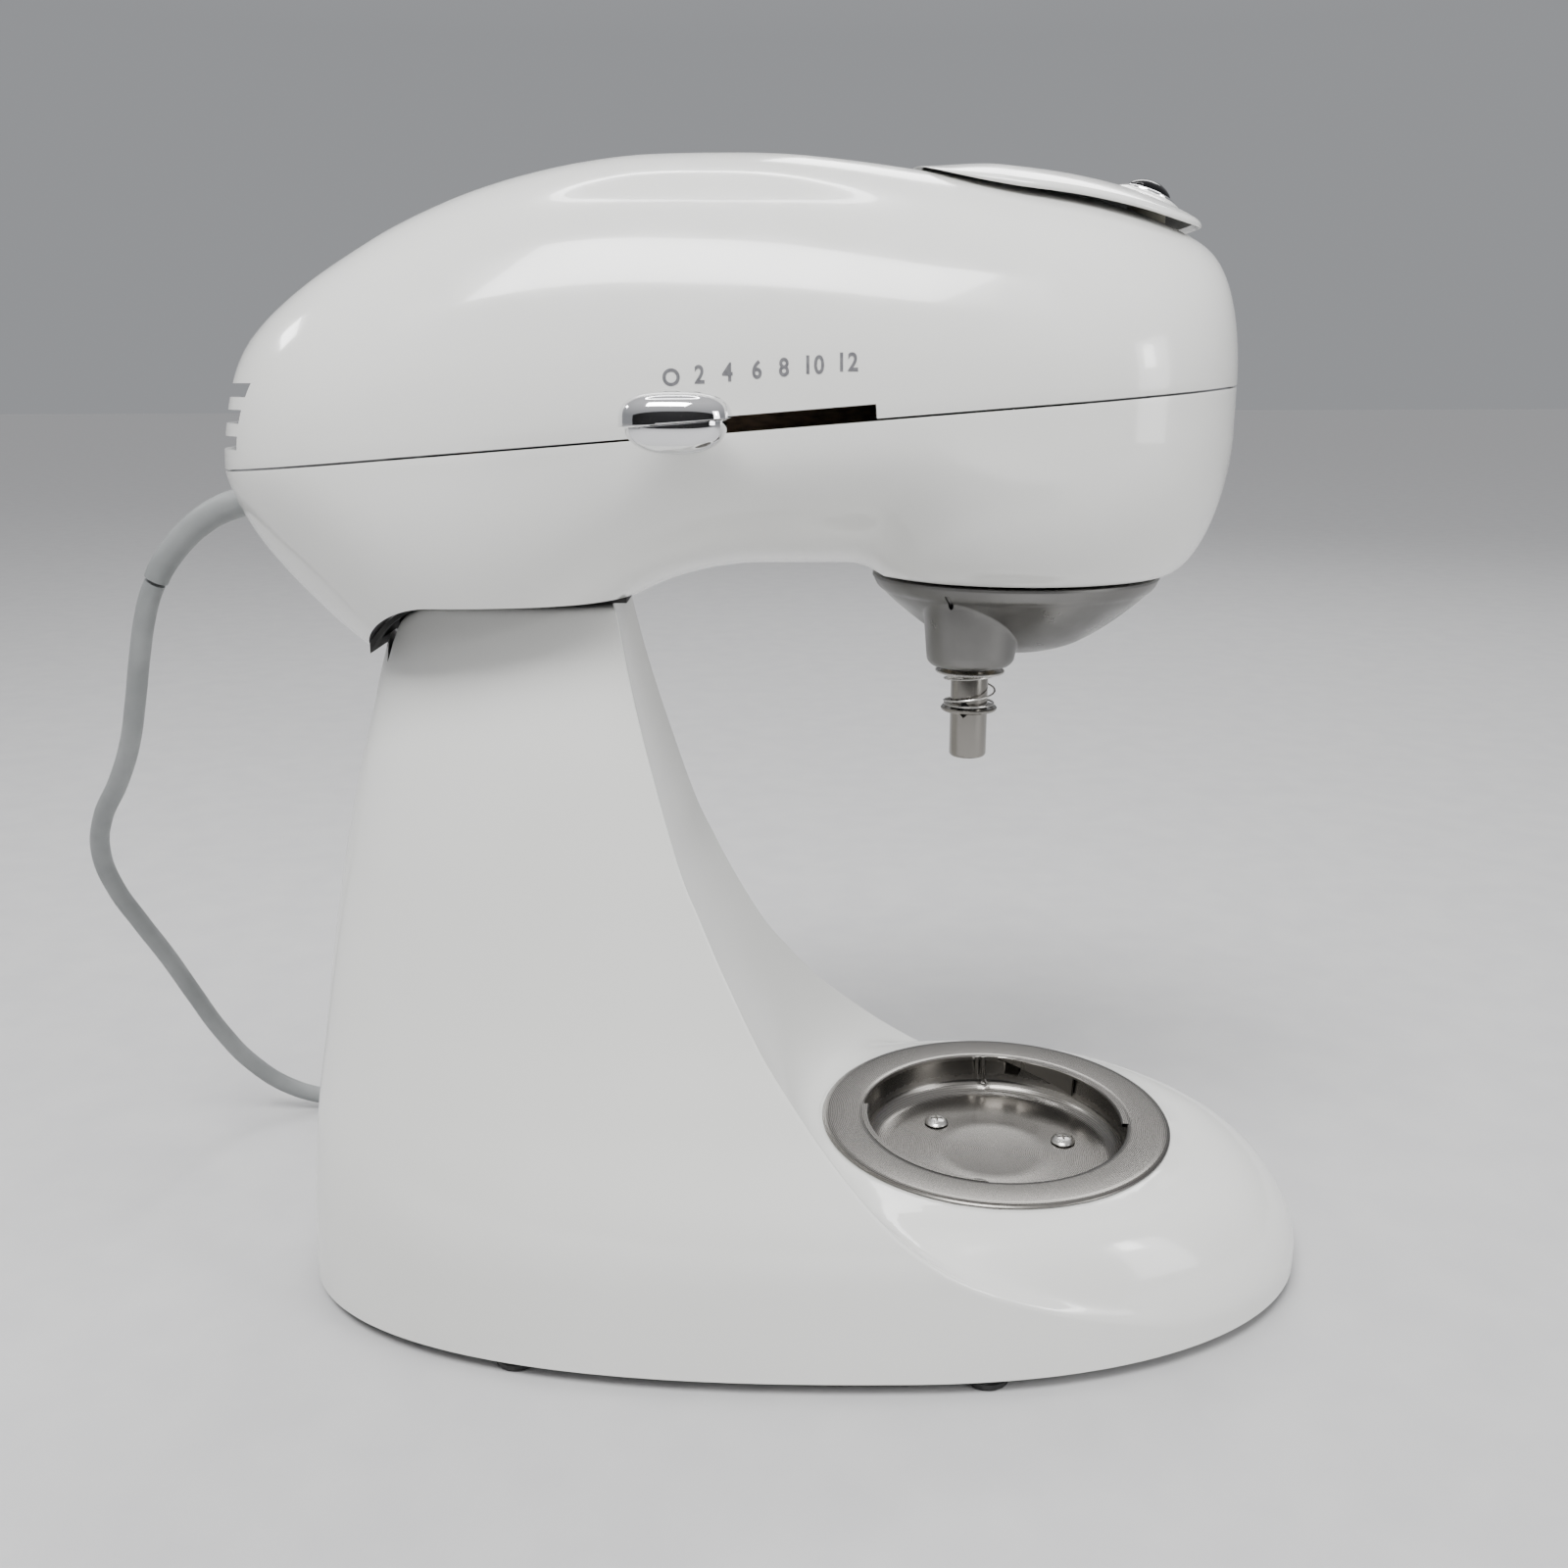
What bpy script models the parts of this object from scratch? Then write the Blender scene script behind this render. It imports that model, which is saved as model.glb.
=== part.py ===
"""Stand mixer with a tilting head, a planetary drive and a bowl clamp dish.

Row frame: +X is the mixer's front, +Z is up, the origin is on the table under the middle of the body.
Lengths are written in millimetres and turned into metres where a mesh is made.
"""

import math

import bmesh
import bpy
import numpy as np
from mathutils import Matrix, Vector

MM = 0.001
GAP = 0.3  # left between pieces that touch

# ---- driving dimensions, in millimetres ----
FRONT_X, REAR_X = 170.0, -170.0  # tip of the base, rear of the head
BASE_HALF_WIDTH = 84.0
BASE_MIDDLE_X = 30.0  # where the base is widest
BASE_BOTTOM_Z = 5.0
WALL = 3.0

AXIS_X = 67.0  # the planetary axis and the bowl clamp share it
DISH_SEAT_Z = 48.0
DISH_RIM_R, DISH_MOUTH_R, DISH_DEPTH = 59.0, 45.0, 14.0
SHEET = 1.2

PIVOT = (-106.0, 201.5)  # x and z of the hinge pin
SADDLE_R = 26.7  # round top of the column, centred on the hinge pin
HEAD_CLEARANCE = 1.0
COLUMN_TOP_Z = PIVOT[1] + SADDLE_R
SCOOP_R = 109.0  # the column's front is hollowed to clear a bowl of this radius

PARTING_Z, PARTING_SLOPE = 281.35, 0.0779  # height at x = 0 and rise per millimetre
HEAD_FRONT_X = 128.2
HEAD_HALF_WIDTH = 64.0  # over the planetary axis
HEAD_TAPER = 0.064  # half width lost per millimetre towards the rear
REAR_ROUND_X = -118.0  # the plan begins to round off behind this

GEAR_FACE_Z = 236.5  # underside of the head's nose
NOSE_R, NOSE_FACE_R, NOSE_SHOULDER_Z = HEAD_FRONT_X - AXIS_X, 45.0, 277.0
CAP_R, CAP_TOP_Z = 44.0, 235.5
MODULE, RING_TEETH, PINION_TEETH = 2.0, 38, 12
ORBIT_R = MODULE * (RING_TEETH - PINION_TEETH) / 2
ORBIT_ANGLE = math.radians(-127.0)  # where the beater shaft stands at rest
SHAFT_R, SHAFT_END_Z = 5.6, 182.0
LOCK_WASHER_Z = 196.2
PIN_Z, PIN_R = 197.4, 2.4  # the cross pin that drives a beater
NOSE_BLEND = 10.0  # width over which the nose runs into the hull

COVER_X = (33.0, 116.5)
COVER_RISE, COVER_DROOP, COVER_SHEET = 2.3, 0.8, 2.2
BADGE, BADGE_LEAN = (101.5, 344.2), math.radians(21)

WHEEL_MODULE, WHEEL_TEETH, WORM_R = 1.2, 30, 5.5
MOTOR_Y = WHEEL_MODULE * WHEEL_TEETH / 2 + WORM_R
MOTOR_Z = 285.0

LEVER_X, LEVER_TRAVEL = -32.3, 46.2
KNOB_Y, KNOB_RISE = -72.5, 7.8
LOCK = (-77.0, 212.0)  # x and z of the lock shaft

CORD_R = 3.25
COIL_CENTRE, COIL_R = (-112.0, 132.0), 35.0
PLUG = (-66.0, 101.0, 8.4)  # where the plug's body starts


# ---- shapes worked out from the dimensions ----
def spline(points):
    """A smooth curve through the points that never overshoots between them."""
    x, y = (np.array(v, float) for v in zip(*points))
    slope = np.diff(y) / np.diff(x)
    tangent = np.concatenate([[slope[0]], (slope[1:] + slope[:-1]) / 2, [slope[-1]]])
    turns = slope[1:] * slope[:-1] <= 0
    tangent[1:-1][turns] = 0
    for i, s in enumerate(slope):
        for j in (i, i + 1):
            tangent[j] = math.copysign(min(abs(tangent[j]), 3 * abs(s)), tangent[j]) if s else 0

    def at(value):
        value = min(max(value, x[0]), x[-1])
        i = min(int(np.searchsorted(x, value, "right")) - 1, len(slope) - 1)
        h = x[i + 1] - x[i]
        t = (value - x[i]) / h
        return float(
            y[i] * (1 + 2 * t) * (1 - t) ** 2
            + tangent[i] * h * t * (1 - t) ** 2
            + y[i + 1] * t * t * (3 - 2 * t)
            + tangent[i + 1] * h * t * t * (t - 1)
        )

    return at


def rounded(u, power):
    """Height of a superellipse of half size 1 at distance u from its middle."""
    u = min(abs(u), 1.0)
    return (1 - u**power) ** (1 / power)


# head: profile on the middle plane
head_top = spline([
    (-170, 268.1), (-169.4, 272), (-167.2, 282), (-164.5, 293), (-162.2, 301.5), (-160, 305.5),
    (-155.5, 310.5), (-148.5, 316.5), (-139, 323.3), (-126, 331.2), (-115, 337.2), (-99, 344.0),
    (-88, 347.7), (-73.6, 351.4), (-60, 353.9), (-44, 355.6), (-20, 356.0), (-4, 355.6), (13, 354.0),
    (35, 351.0), (56, 348.3), (77, 344.8), (92, 341.0), (105, 336.4), (114, 332.3), (118.5, 329.2),
    (120.7, 326.6), (123, 322.2), (125, 315.4), (127, 304.6), (127.9, 297.3), (128.2, 291.3),
])  # fmt: skip
head_keel = spline([
    (-170, 268.0), (-168.3, 264), (-165.9, 253.5), (-162, 244.4), (-156, 235.7), (-148.4, 226.9),
    (-139.8, 218.3), (-131, 211.5), (-118, 206.5), (-100, 206), (-80, 210.5), (-65, 218.5),
    (-52.4, 227.7), (-41.8, 233.3), (-29.9, 237.0), (-12, 239.2), (10, 239.2), (67, 239.2),
])  # fmt: skip
# column: rear edge, widest line and front, each by height
column_rear = spline([
    (0, -165.4), (15, -165), (45, -162.7), (64, -160.5), (86, -157), (110, -153.2), (134, -149),
    (158, -143.9), (178, -139), (194, -134.2), (208, -130.6), (229, -124),
])  # fmt: skip
column_widest_x = spline([
    (0, 30), (40, 31), (52, 28), (63, 17.3), (74, 7.7), (89, -3.5), (100, -10.7), (127, -24.7),
    (151, -34.7), (180, -43.3), (210, -51), (229, -54),
])  # fmt: skip
column_half_width = spline([
    (0, 84), (38, 84), (52, 81.2), (63, 75.5), (74, 69.2), (89, 62), (100, 57), (127, 48.3),
    (151, 42.6), (180, 35.5), (210, 27), (229, 22),
])  # fmt: skip
scoop_height = spline([
    (-57, 229), (-54.4, 210), (-52, 194.5), (-49.4, 180), (-46.7, 166), (-43.4, 151), (-39.8, 140),
    (-35.6, 127), (-31.2, 114), (-26.3, 100), (-21.6, 89), (-14.6, 74), (-8.8, 63), (-2.5, 54), (7.7, 44.8),
    (20.4, 37.7), (37.3, 31.4), (52.6, 26.5), (74, 21), (100, 14), (170, 8),
])  # fmt: skip


def parting(x):
    return PARTING_Z + PARTING_SLOPE * x


def head_half_width(x):
    if x > AXIS_X:
        return HEAD_HALF_WIDTH * rounded((x - AXIS_X) / (HEAD_FRONT_X - AXIS_X), 2.15)
    straight = HEAD_HALF_WIDTH - HEAD_TAPER * (AXIS_X - x)
    if x > REAR_ROUND_X:
        return straight
    return straight * rounded((x - REAR_ROUND_X) / (REAR_X - REAR_ROUND_X), 2.4)


def nose_radius(z):
    """The head's nose is turned about the planetary axis, and draws in towards the gear face."""
    share = rounded(max(NOSE_SHOULDER_Z - z, 0) / (NOSE_SHOULDER_Z - GEAR_FACE_Z + 0.01), 1.8)
    return NOSE_FACE_R + (NOSE_R - NOSE_FACE_R) * share


def nose_width(x, z, inset):
    """Half width of the nose: round at the gear face, a little wider than long at the shoulder."""
    radius = nose_radius(z)
    share = (radius - NOSE_FACE_R) / (NOSE_R - NOSE_FACE_R)
    stretch = 1 + (HEAD_HALF_WIDTH / NOSE_R - 1) * share
    radius -= inset
    away = abs(x - AXIS_X)
    return radius * stretch * rounded(away / radius, 2 + 0.15 * share) if away < radius else 0.0


def base_half_width(x):
    if x > BASE_MIDDLE_X:
        return BASE_HALF_WIDTH * rounded((x - BASE_MIDDLE_X) / (FRONT_X - BASE_MIDDLE_X), 2.15)
    return column_wall(x, 0)


def column_wall(x, z):
    """Half width of the casting's side wall at a place along X and a height."""
    middle, wide, rear = column_widest_x(z), column_half_width(z), column_rear(z)
    if x <= rear:
        return 0.0
    if x < middle:
        return wide * rounded((middle - x) / (middle - rear), 2.5)
    return min(wide, BASE_HALF_WIDTH * rounded((x - BASE_MIDDLE_X) / (FRONT_X - BASE_MIDDLE_X), 2.15))


def toe_height(x, y):
    """The base round the clamp dish: level under the dish, then falling to the outline."""
    away = math.hypot(x - AXIS_X, y)
    if away < 60.5:
        return DISH_SEAT_Z
    ux, uy = (x - AXIS_X) / away, y / away
    low, high = 60.5, 300.0
    for _ in range(30):
        mid = (low + high) / 2
        px, py = AXIS_X + ux * mid, uy * mid
        inside = REAR_X < px < FRONT_X and abs(py) < base_half_width(px)
        low, high = (mid, high) if inside else (low, mid)
    share = min((away - 60.5) / max(low - 60.5, 1e-6), 1.0)
    return 11 + (DISH_SEAT_Z - 11) * max(1 - share**2.2, 0) ** 0.62


def top_height(x, y):
    """Height of the casting's upper surface over a place in plan."""
    scoop = scoop_height(x - y * y / (2 * SCOOP_R))
    toe = toe_height(x, y) if x > -60 else 0
    soft = 5.0
    height = (scoop + toe + math.hypot(scoop - toe, soft)) / 2 - soft / 4
    if math.hypot(x - AXIS_X, y) < 60.5:
        height = DISH_SEAT_Z
    saddle = COLUMN_TOP_Z
    if x < PIVOT[0]:
        reach = SADDLE_R**2 - (x - PIVOT[0]) ** 2
        saddle = PIVOT[1] + math.sqrt(max(reach, 0))
    return min(height, saddle) if x > PIVOT[0] - SADDLE_R else 400.0


# ---- objects ----
PARTS = CUTTERS = None


def clear():
    global PARTS, CUTTERS
    for thing in list(bpy.data.objects):
        bpy.data.objects.remove(thing, do_unlink=True)
    PARTS = bpy.data.collections.new("stand_mixer")
    CUTTERS = bpy.data.collections.new("cutters")
    for group in (PARTS, CUTTERS):
        bpy.context.scene.collection.children.link(group)


def add(name, bm, smooth=35.0):
    """Ends a mesh: doubles merged, faces out, and in the parts' collection."""
    bmesh.ops.remove_doubles(bm, verts=bm.verts, dist=1e-7)
    bmesh.ops.dissolve_degenerate(bm, edges=bm.edges, dist=1e-7)
    bmesh.ops.recalc_face_normals(bm, faces=bm.faces)
    mesh = bpy.data.meshes.new(name)
    bm.to_mesh(mesh)
    bm.free()
    mesh.shade_smooth()
    mesh.set_sharp_from_angle(angle=math.radians(smooth))
    made = bpy.data.objects.new(name, mesh)
    PARTS.objects.link(made)
    return made


def as_cutter(made):
    PARTS.objects.unlink(made)
    CUTTERS.objects.link(made)
    made.hide_render = True
    made.display_type = "WIRE"
    return made


def boolean(target, others, operation):
    for other in others:
        if other.name in PARTS.objects:
            as_cutter(other)
        step = target.modifiers.new(other.name, "BOOLEAN")
        step.operation, step.object, step.solver = operation, other, "EXACT"
        bpy.context.view_layer.objects.active = target
        bpy.ops.object.modifier_apply(modifier=step.name)
    return target


def cut(target, *others):
    return boolean(target, others, "DIFFERENCE")


def join(target, *others):
    return boolean(target, others, "UNION")


def box(name, low, high, turn=None):
    """A box from its lowest to its highest corner, turned about a point if asked."""
    bm = bmesh.new()
    size = [(b - a) * MM for a, b in zip(low, high)]
    middle = Vector([(a + b) / 2 * MM for a, b in zip(low, high)])
    bmesh.ops.create_cube(bm, size=1, matrix=Matrix.Translation(middle) @ Matrix.Diagonal((*size, 1)))
    if turn:
        angle, axis, centre = turn
        bmesh.ops.rotate(
            bm, verts=bm.verts, cent=Vector(centre) * MM, matrix=Matrix.Rotation(angle, 3, axis)
        )
    return add(name, bm)


def rod(name, start, end, radius, end_radius=None, sides=24):
    """A round bar or cone between two points."""
    a, b = Vector(start) * MM, Vector(end) * MM
    bm = bmesh.new()
    place = Matrix.Translation((a + b) / 2) @ (b - a).to_track_quat("Z", "Y").to_matrix().to_4x4()
    bmesh.ops.create_cone(
        bm, cap_ends=True, segments=sides, depth=(b - a).length, matrix=place,
        radius1=radius * MM, radius2=(radius if end_radius is None else end_radius) * MM,
    )  # fmt: skip
    return add(name, bm)


def turned(name, profile, centre=(0, 0), steps=32, closed=False):
    """A profile of (radius, height) points turned about a vertical axis with a Screw modifier."""
    mesh = bpy.data.meshes.new(name)
    count = len(profile)
    edges = [(i, i + 1) for i in range(count - 1)] + ([(count - 1, 0)] if closed else [])
    mesh.from_pydata([(r * MM, 0, z * MM) for r, z in profile], edges, [])
    made = bpy.data.objects.new(name, mesh)
    PARTS.objects.link(made)
    screw = made.modifiers.new("turn", "SCREW")
    screw.steps = screw.render_steps = steps
    screw.use_merge_vertices, screw.merge_threshold = True, 1e-6
    bpy.context.view_layer.objects.active = made
    bpy.ops.object.modifier_apply(modifier="turn")
    bm = bmesh.new()
    bm.from_mesh(made.data)
    bmesh.ops.translate(bm, verts=bm.verts, vec=(centre[0] * MM, centre[1] * MM, 0))
    bpy.data.objects.remove(made)
    return add(name, bm)


def ring(name, inner, outer, low, high, centre=(0, 0), steps=20):
    profile = [(outer, high), (outer, low), (inner, low), (inner, high)]
    return turned(name, profile, centre, steps, closed=True)


def along_x(made, x, y, z):
    """Turns a piece made about the vertical axis so that its axis lies along X through (y, z)."""
    turn = Matrix.Rotation(math.radians(90), 4, "Y")
    made.data.transform(Matrix.Translation((x * MM, y * MM, z * MM)) @ turn)
    return made


def outline_plate(name, outline, low, high, twist=0.0):
    """A flat outline as a filled 2D curve, extruded, with its top turned by twist."""
    curve = bpy.data.curves.new(name, "CURVE")
    curve.dimensions, curve.fill_mode, curve.extrude = "2D", "BOTH", (high - low) / 2 * MM
    line = curve.splines.new("POLY")
    line.points.add(len(outline) - 1)
    for point, (x, y) in zip(line.points, outline):
        point.co = (x * MM, y * MM, 0, 1)
    line.use_cyclic_u = True
    flat = bpy.data.objects.new(name, curve)
    PARTS.objects.link(flat)
    bpy.context.view_layer.update()
    mesh = bpy.data.meshes.new_from_object(flat.evaluated_get(bpy.context.evaluated_depsgraph_get()))
    bpy.data.objects.remove(flat)
    bm = bmesh.new()
    bm.from_mesh(mesh)
    bmesh.ops.remove_doubles(bm, verts=bm.verts, dist=1e-6)
    upper = [v for v in bm.verts if v.co.z > 0]
    bmesh.ops.rotate(bm, verts=upper, cent=(0, 0, 0), matrix=Matrix.Rotation(twist, 3, "Z"))
    bmesh.ops.translate(bm, verts=bm.verts, vec=(0, 0, (low + high) / 2 * MM))
    return add(name, bm)


def tube(name, points, radius, radii=None, resolution=2):
    """A round tube along points, as a bevelled POLY curve with filled ends."""
    curve = bpy.data.curves.new(name, "CURVE")
    curve.dimensions, curve.use_fill_caps = "3D", True
    curve.bevel_depth, curve.bevel_resolution = radius * MM, resolution
    line = curve.splines.new("POLY")
    line.points.add(len(points) - 1)
    for i, (point, place) in enumerate(zip(line.points, points)):
        point.co = (*(Vector(place) * MM), 1)
        point.radius = radii[i] / radius if radii else 1.0
    bent = bpy.data.objects.new(name, curve)
    PARTS.objects.link(bent)
    bpy.context.view_layer.update()
    mesh = bpy.data.meshes.new_from_object(bent.evaluated_get(bpy.context.evaluated_depsgraph_get()))
    bpy.data.objects.remove(bent)
    bm = bmesh.new()
    bm.from_mesh(mesh)
    bmesh.ops.remove_doubles(bm, verts=bm.verts, dist=1e-6)
    return add(name, bm)


def loft(name, rings):
    """Closed rings of equal count joined into one skin, with flat ends."""
    bm = bmesh.new()
    rows = [[bm.verts.new(Vector(p) * MM) for p in ring_points] for ring_points in rings]
    count = len(rows[0])
    for a, b in zip(rows, rows[1:]):
        for i in range(count):
            bm.faces.new((a[i], a[(i + 1) % count], b[(i + 1) % count], b[i]))
    bmesh.ops.triangulate(bm, faces=bm.faces)
    bm.faces.new(rows[0])
    bm.faces.new(rows[-1])
    return add(name, bm)


def eased(low, high, count):
    """Places from low to high, crowded at both ends."""
    return [low + (high - low) * (1 - math.cos(math.pi * i / (count - 1))) / 2 for i in range(count)]


# ---- stand ----
def casting_ring(x, inset, wall_steps, top_steps):
    """One cross-section of the casting, from the near bottom edge over the top to the far one."""

    def top(y):
        if not inset:
            return top_height(x, y)
        return min(top_height(x + s, y) for s in (-inset, 0, inset)) - inset

    def wall(z):
        return max(column_wall(x, z) - inset, 0) if x > column_rear(z) + inset else 0.0

    bottom = BASE_BOTTOM_Z - (10 if inset else 0)
    low, high = bottom, 240.0
    for _ in range(40):
        mid = (low + high) / 2
        width = wall(mid)
        low, high = (mid, high) if width > 0 and mid < top(width) else (low, mid)
    crease = low
    side = [bottom + (crease - bottom) * math.sin(math.pi / 2 * i / wall_steps) for i in range(wall_steps + 1)]
    edge = wall(crease)
    closed_over = top(edge) < crease + 0.5  # the side wall reaches the top surface here
    over = [math.sin(math.pi / 2 * (2 * i / top_steps - 1)) * edge for i in range(1, top_steps)]
    near = [(x, -wall(z), z) for z in side]
    return [*near, *((x, y, top(y) if closed_over else crease) for y in over),
            *((x, -y, z) for _, y, z in reversed(near))]  # fmt: skip


def casting_stations(rear, front, count):
    """Sections closer together at the rear, in front and where the scoop is steep."""
    steep = [-56.9, -53.5, -49.0, -42, -33, -22, -9, 4, 14, 21]
    behind = eased(rear, 2 * (-60) - rear, 2 * count)[:count]
    ahead = eased(2 * 14 - front, front, 2 * count)[count:]
    return [*behind, *steep, *ahead]


def make_stand_casting():
    rear, front, inset = -165.3, FRONT_X - 0.1, WALL + 0.5
    casting = loft("stand_casting", [casting_ring(x, 0, 6, 10) for x in casting_stations(rear, front, 9)])
    inner = [x - inset if -60 < x < 14 else x for x in casting_stations(rear + inset, front - inset, 5)]
    hollow = loft("casting_hollow", [casting_ring(x, inset, 3, 4) for x in sorted(inner)])
    well = rod("dish_well", (AXIS_X, 0, 31), (AXIS_X, 0, 80), DISH_MOUTH_R + 6)
    blocks = [box(f"pin_block_{n}", (-118, y0, 189), (-95, y1, 214)) for n, (y0, y1) in
              enumerate(((-40, -12), (12, 40)))]  # fmt: skip
    cut(hollow, well, *blocks)
    cut(casting, hollow)
    slot = box("bracket_slot", (-127, -10.5, 204), (-64, 10.5, 245))
    low = (AXIS_X, 0, DISH_SEAT_Z - DISH_DEPTH)
    recess = rod("dish_recess", low, (AXIS_X, 0, 60), DISH_MOUTH_R + 2.5, sides=40)
    seat = rod("dish_seat", (AXIS_X, 0, DISH_SEAT_Z - 0.1), (AXIS_X, 0, 90), DISH_RIM_R + 1.2, sides=36)
    pin = rod("pin_bore", (PIVOT[0], -19, PIVOT[1]), (PIVOT[0], 19, PIVOT[1]), 6 + GAP)
    lock_bore = rod("lock_bore", (LOCK[0], 10, LOCK[1]), (LOCK[0], 40, LOCK[1]), 3 + GAP)
    screws = [rod(f"dish_screw_bore_{n}", (x, y, 25), (x, y, 40), 2 + GAP, sides=12)
              for n, (x, y) in enumerate(dish_screw_places())]  # fmt: skip
    cut(casting, seat, recess, slot, pin, lock_bore, *screws)
    return casting


def dish_screw_places():
    turns = [math.radians(132 + 120 * n) for n in range(3)]
    return [(AXIS_X + 26 * math.cos(a), 26 * math.sin(a)) for a in turns]


def base_outline(inset, count=40):
    half = []
    for x in eased(-165.3 + inset, FRONT_X - inset, count):
        half.append((x, max(base_half_width(x) - inset, 0)))
    half[0], half[-1] = (half[0][0], 6.0), (half[-1][0], 6.0)
    return [*half, *((x, -y) for x, y in reversed(half))]


def make_base():
    outline_plate("base_cover", base_outline(WALL + 1, 24), 2.9, BASE_BOTTOM_Z - GAP)
    for name, (x, y) in {"foot_front_left": (56, 74), "foot_front_right": (56, -74),
                         "foot_rear_left": (-88, 64), "foot_rear_right": (-88, -64)}.items():  # fmt: skip
        turned(name, [(0, 2.6), (7.4, 2.6), (7.0, 0.6), (6.4, 0), (0, 0)], (x, y), 20)


def make_dish():
    """A spun stainless dish with a flat rim, and a notch and two ramps that lock the bowl's foot."""
    top, floor = DISH_SEAT_Z + GAP, DISH_SEAT_Z + GAP - DISH_DEPTH
    mouth = DISH_MOUTH_R
    profile = [
        (0, floor + SHEET), (40, floor + SHEET), (mouth - 2, floor + SHEET + 1.5), (mouth, floor + 5),
        (mouth, top + SHEET), (DISH_RIM_R - 1, top + SHEET), (DISH_RIM_R, top + 0.6), (DISH_RIM_R - 0.4, top),
        (mouth + SHEET, top), (mouth + SHEET, floor + 4), (mouth - 1, floor + 0.6), (40.5, floor), (0, floor),
    ]  # fmt: skip
    dish = turned("clamp_dish", profile, (AXIS_X, 0), 36)
    for n, (x, y) in enumerate(dish_screw_places()):
        cut(dish, rod(f"dish_bore_{n}", (x, y, 30), (x, y, 40), 2 + GAP, sides=12))
        head = floor + SHEET + GAP
        dome = [(0, head + 1.8), (2.6, head + 1.7), (4, head + 0.9), (4.2, head)]
        profile = [*dome, (2, head), (2, 27.5), (0, 27.5)]
        turned(f"dish_screw_{n + 1}", profile, (x, y), 16)


def make_hinge():
    rod("hinge_pin", (PIVOT[0], -18.5, PIVOT[1]), (PIVOT[0], 18.5, PIVOT[1]), 4)
    for name, y0, y1 in (("hinge_bush_right", -18.5, -11), ("hinge_bush_left", 11, 18.5)):
        bush = ring(name, 4 + GAP, 6, y0, y1, steps=24)
        place = Matrix.Translation((PIVOT[0] * MM, 0, PIVOT[1] * MM))
        bush.data.transform(place @ Matrix.Rotation(math.radians(-90), 4, "X"))


def make_lock():
    """A half-round bar that turns over the striker's lip, and its lever on the far side."""
    x, z = LOCK
    shaft = rod("lock_shaft", (x, 4, z), (x, 38, z), 3)
    bar = rod("lock_bar", (x, -4, z), (x, 4.5, z), 4.5)
    cut(bar, box("bar_flat", (x - 9, -9, z - 9), (x + 0.4, 9, z + 9)))
    join(shaft, bar)
    lever = rod("lock_lever", (x, 33, z), (x, 37.6, z), 8)
    arm = box("lock_arm", (x - 4.5, 33.6, z - 18), (x + 4.5, 37, z))
    tip = rod("lock_tip", (x, 33.5, z - 18), (x, 37.1, z - 18), 4.5)
    join(lever, arm, tip)
    cut(lever, rod("lever_bore", (x, 30, z), (x, 40, z), 3 + GAP))


# ---- head ----
def inset_half_width(x, inset):
    if not inset:
        return head_half_width(x)
    return min(head_half_width(x - inset), head_half_width(x + inset)) - inset * 0.9


def upper_ring(x, inset, steps):
    """Cross-section of the upper housing, an oval arch standing on the parting plane."""
    wide = max(inset_half_width(x, inset), 0.4)
    base = parting(x)
    tall = max(head_top(x) - inset - base, 0.8)
    arch = []
    for i in range(steps + 1):
        a = math.pi * i / steps
        side = math.copysign(abs(math.cos(a)) ** 0.95, -math.cos(a))
        arch.append((x, wide * side, base + GAP + (tall - GAP) * math.sin(a) ** 0.95))
    if inset:
        arch[0], arch[-1] = (x, -wide, base - 8), (x, wide, base - 8)
    return arch


def lower_width(x, z, inset):
    """Half width below the parting plane: the tapering hull, or the turned nose, softly joined."""
    limit = inset_half_width(x, inset)
    nose = min(nose_width(x, z, inset), limit)
    if x > AXIS_X:
        return max(nose, 0)
    keel = head_keel(x) + inset
    hull = limit * rounded((parting(x) - z) / max(parting(x) - keel, 0.5), 2.0)
    close = max(NOSE_BLEND - abs(hull - nose), 0) / NOSE_BLEND if nose > 0 else 0
    return max(min(max(hull, nose) + close * close * NOSE_BLEND / 4, limit), 0)


def lower_bottom(x, inset):
    """Height of the lower housing's underside on the middle plane."""
    away = abs(x - AXIS_X)
    if away < NOSE_FACE_R - inset:
        return GEAR_FACE_Z + inset
    if x < AXIS_X:
        return head_keel(x) + inset
    low, high = GEAR_FACE_Z, NOSE_SHOULDER_Z + 20
    for _ in range(30):
        mid = (low + high) / 2
        low, high = (mid, high) if nose_radius(mid) - inset < away else (low, mid)
    return low


def lower_ring(x, inset, steps):
    top = parting(x) + (8 if inset else -GAP)
    base = parting(x)
    bottom = min(lower_bottom(x, inset), base - 0.8)
    half = [(x, max(inset_half_width(x, inset), 0.4), top)]
    for i in range(1, steps + 1):
        z = base - (base - bottom) * math.sin(math.pi / 2 * i / steps)
        half.append((x, lower_width(x, z, inset), z))
    half.append((x, 0.0, bottom))
    return [(x, -y, z) for _, y, z in half] + [(x, y, z) for _, y, z in reversed(half[:-1])]


def head_stations(inset, count):
    return eased(REAR_X + 0.05 + inset, HEAD_FRONT_X - 0.05 - inset, count)


def underside_tool(name, inset):
    """What the column's saddle and flat top clear from the lower housing."""
    radius = SADDLE_R + HEAD_CLEARANCE + inset
    x, z = PIVOT
    round_tool = rod(name, (x, -90, z), (x, 90, z), radius, sides=60)
    flat = box(name + "_flat", (x, -90, z - 40), (-47, 90, z + radius))
    return [round_tool, flat]


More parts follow.
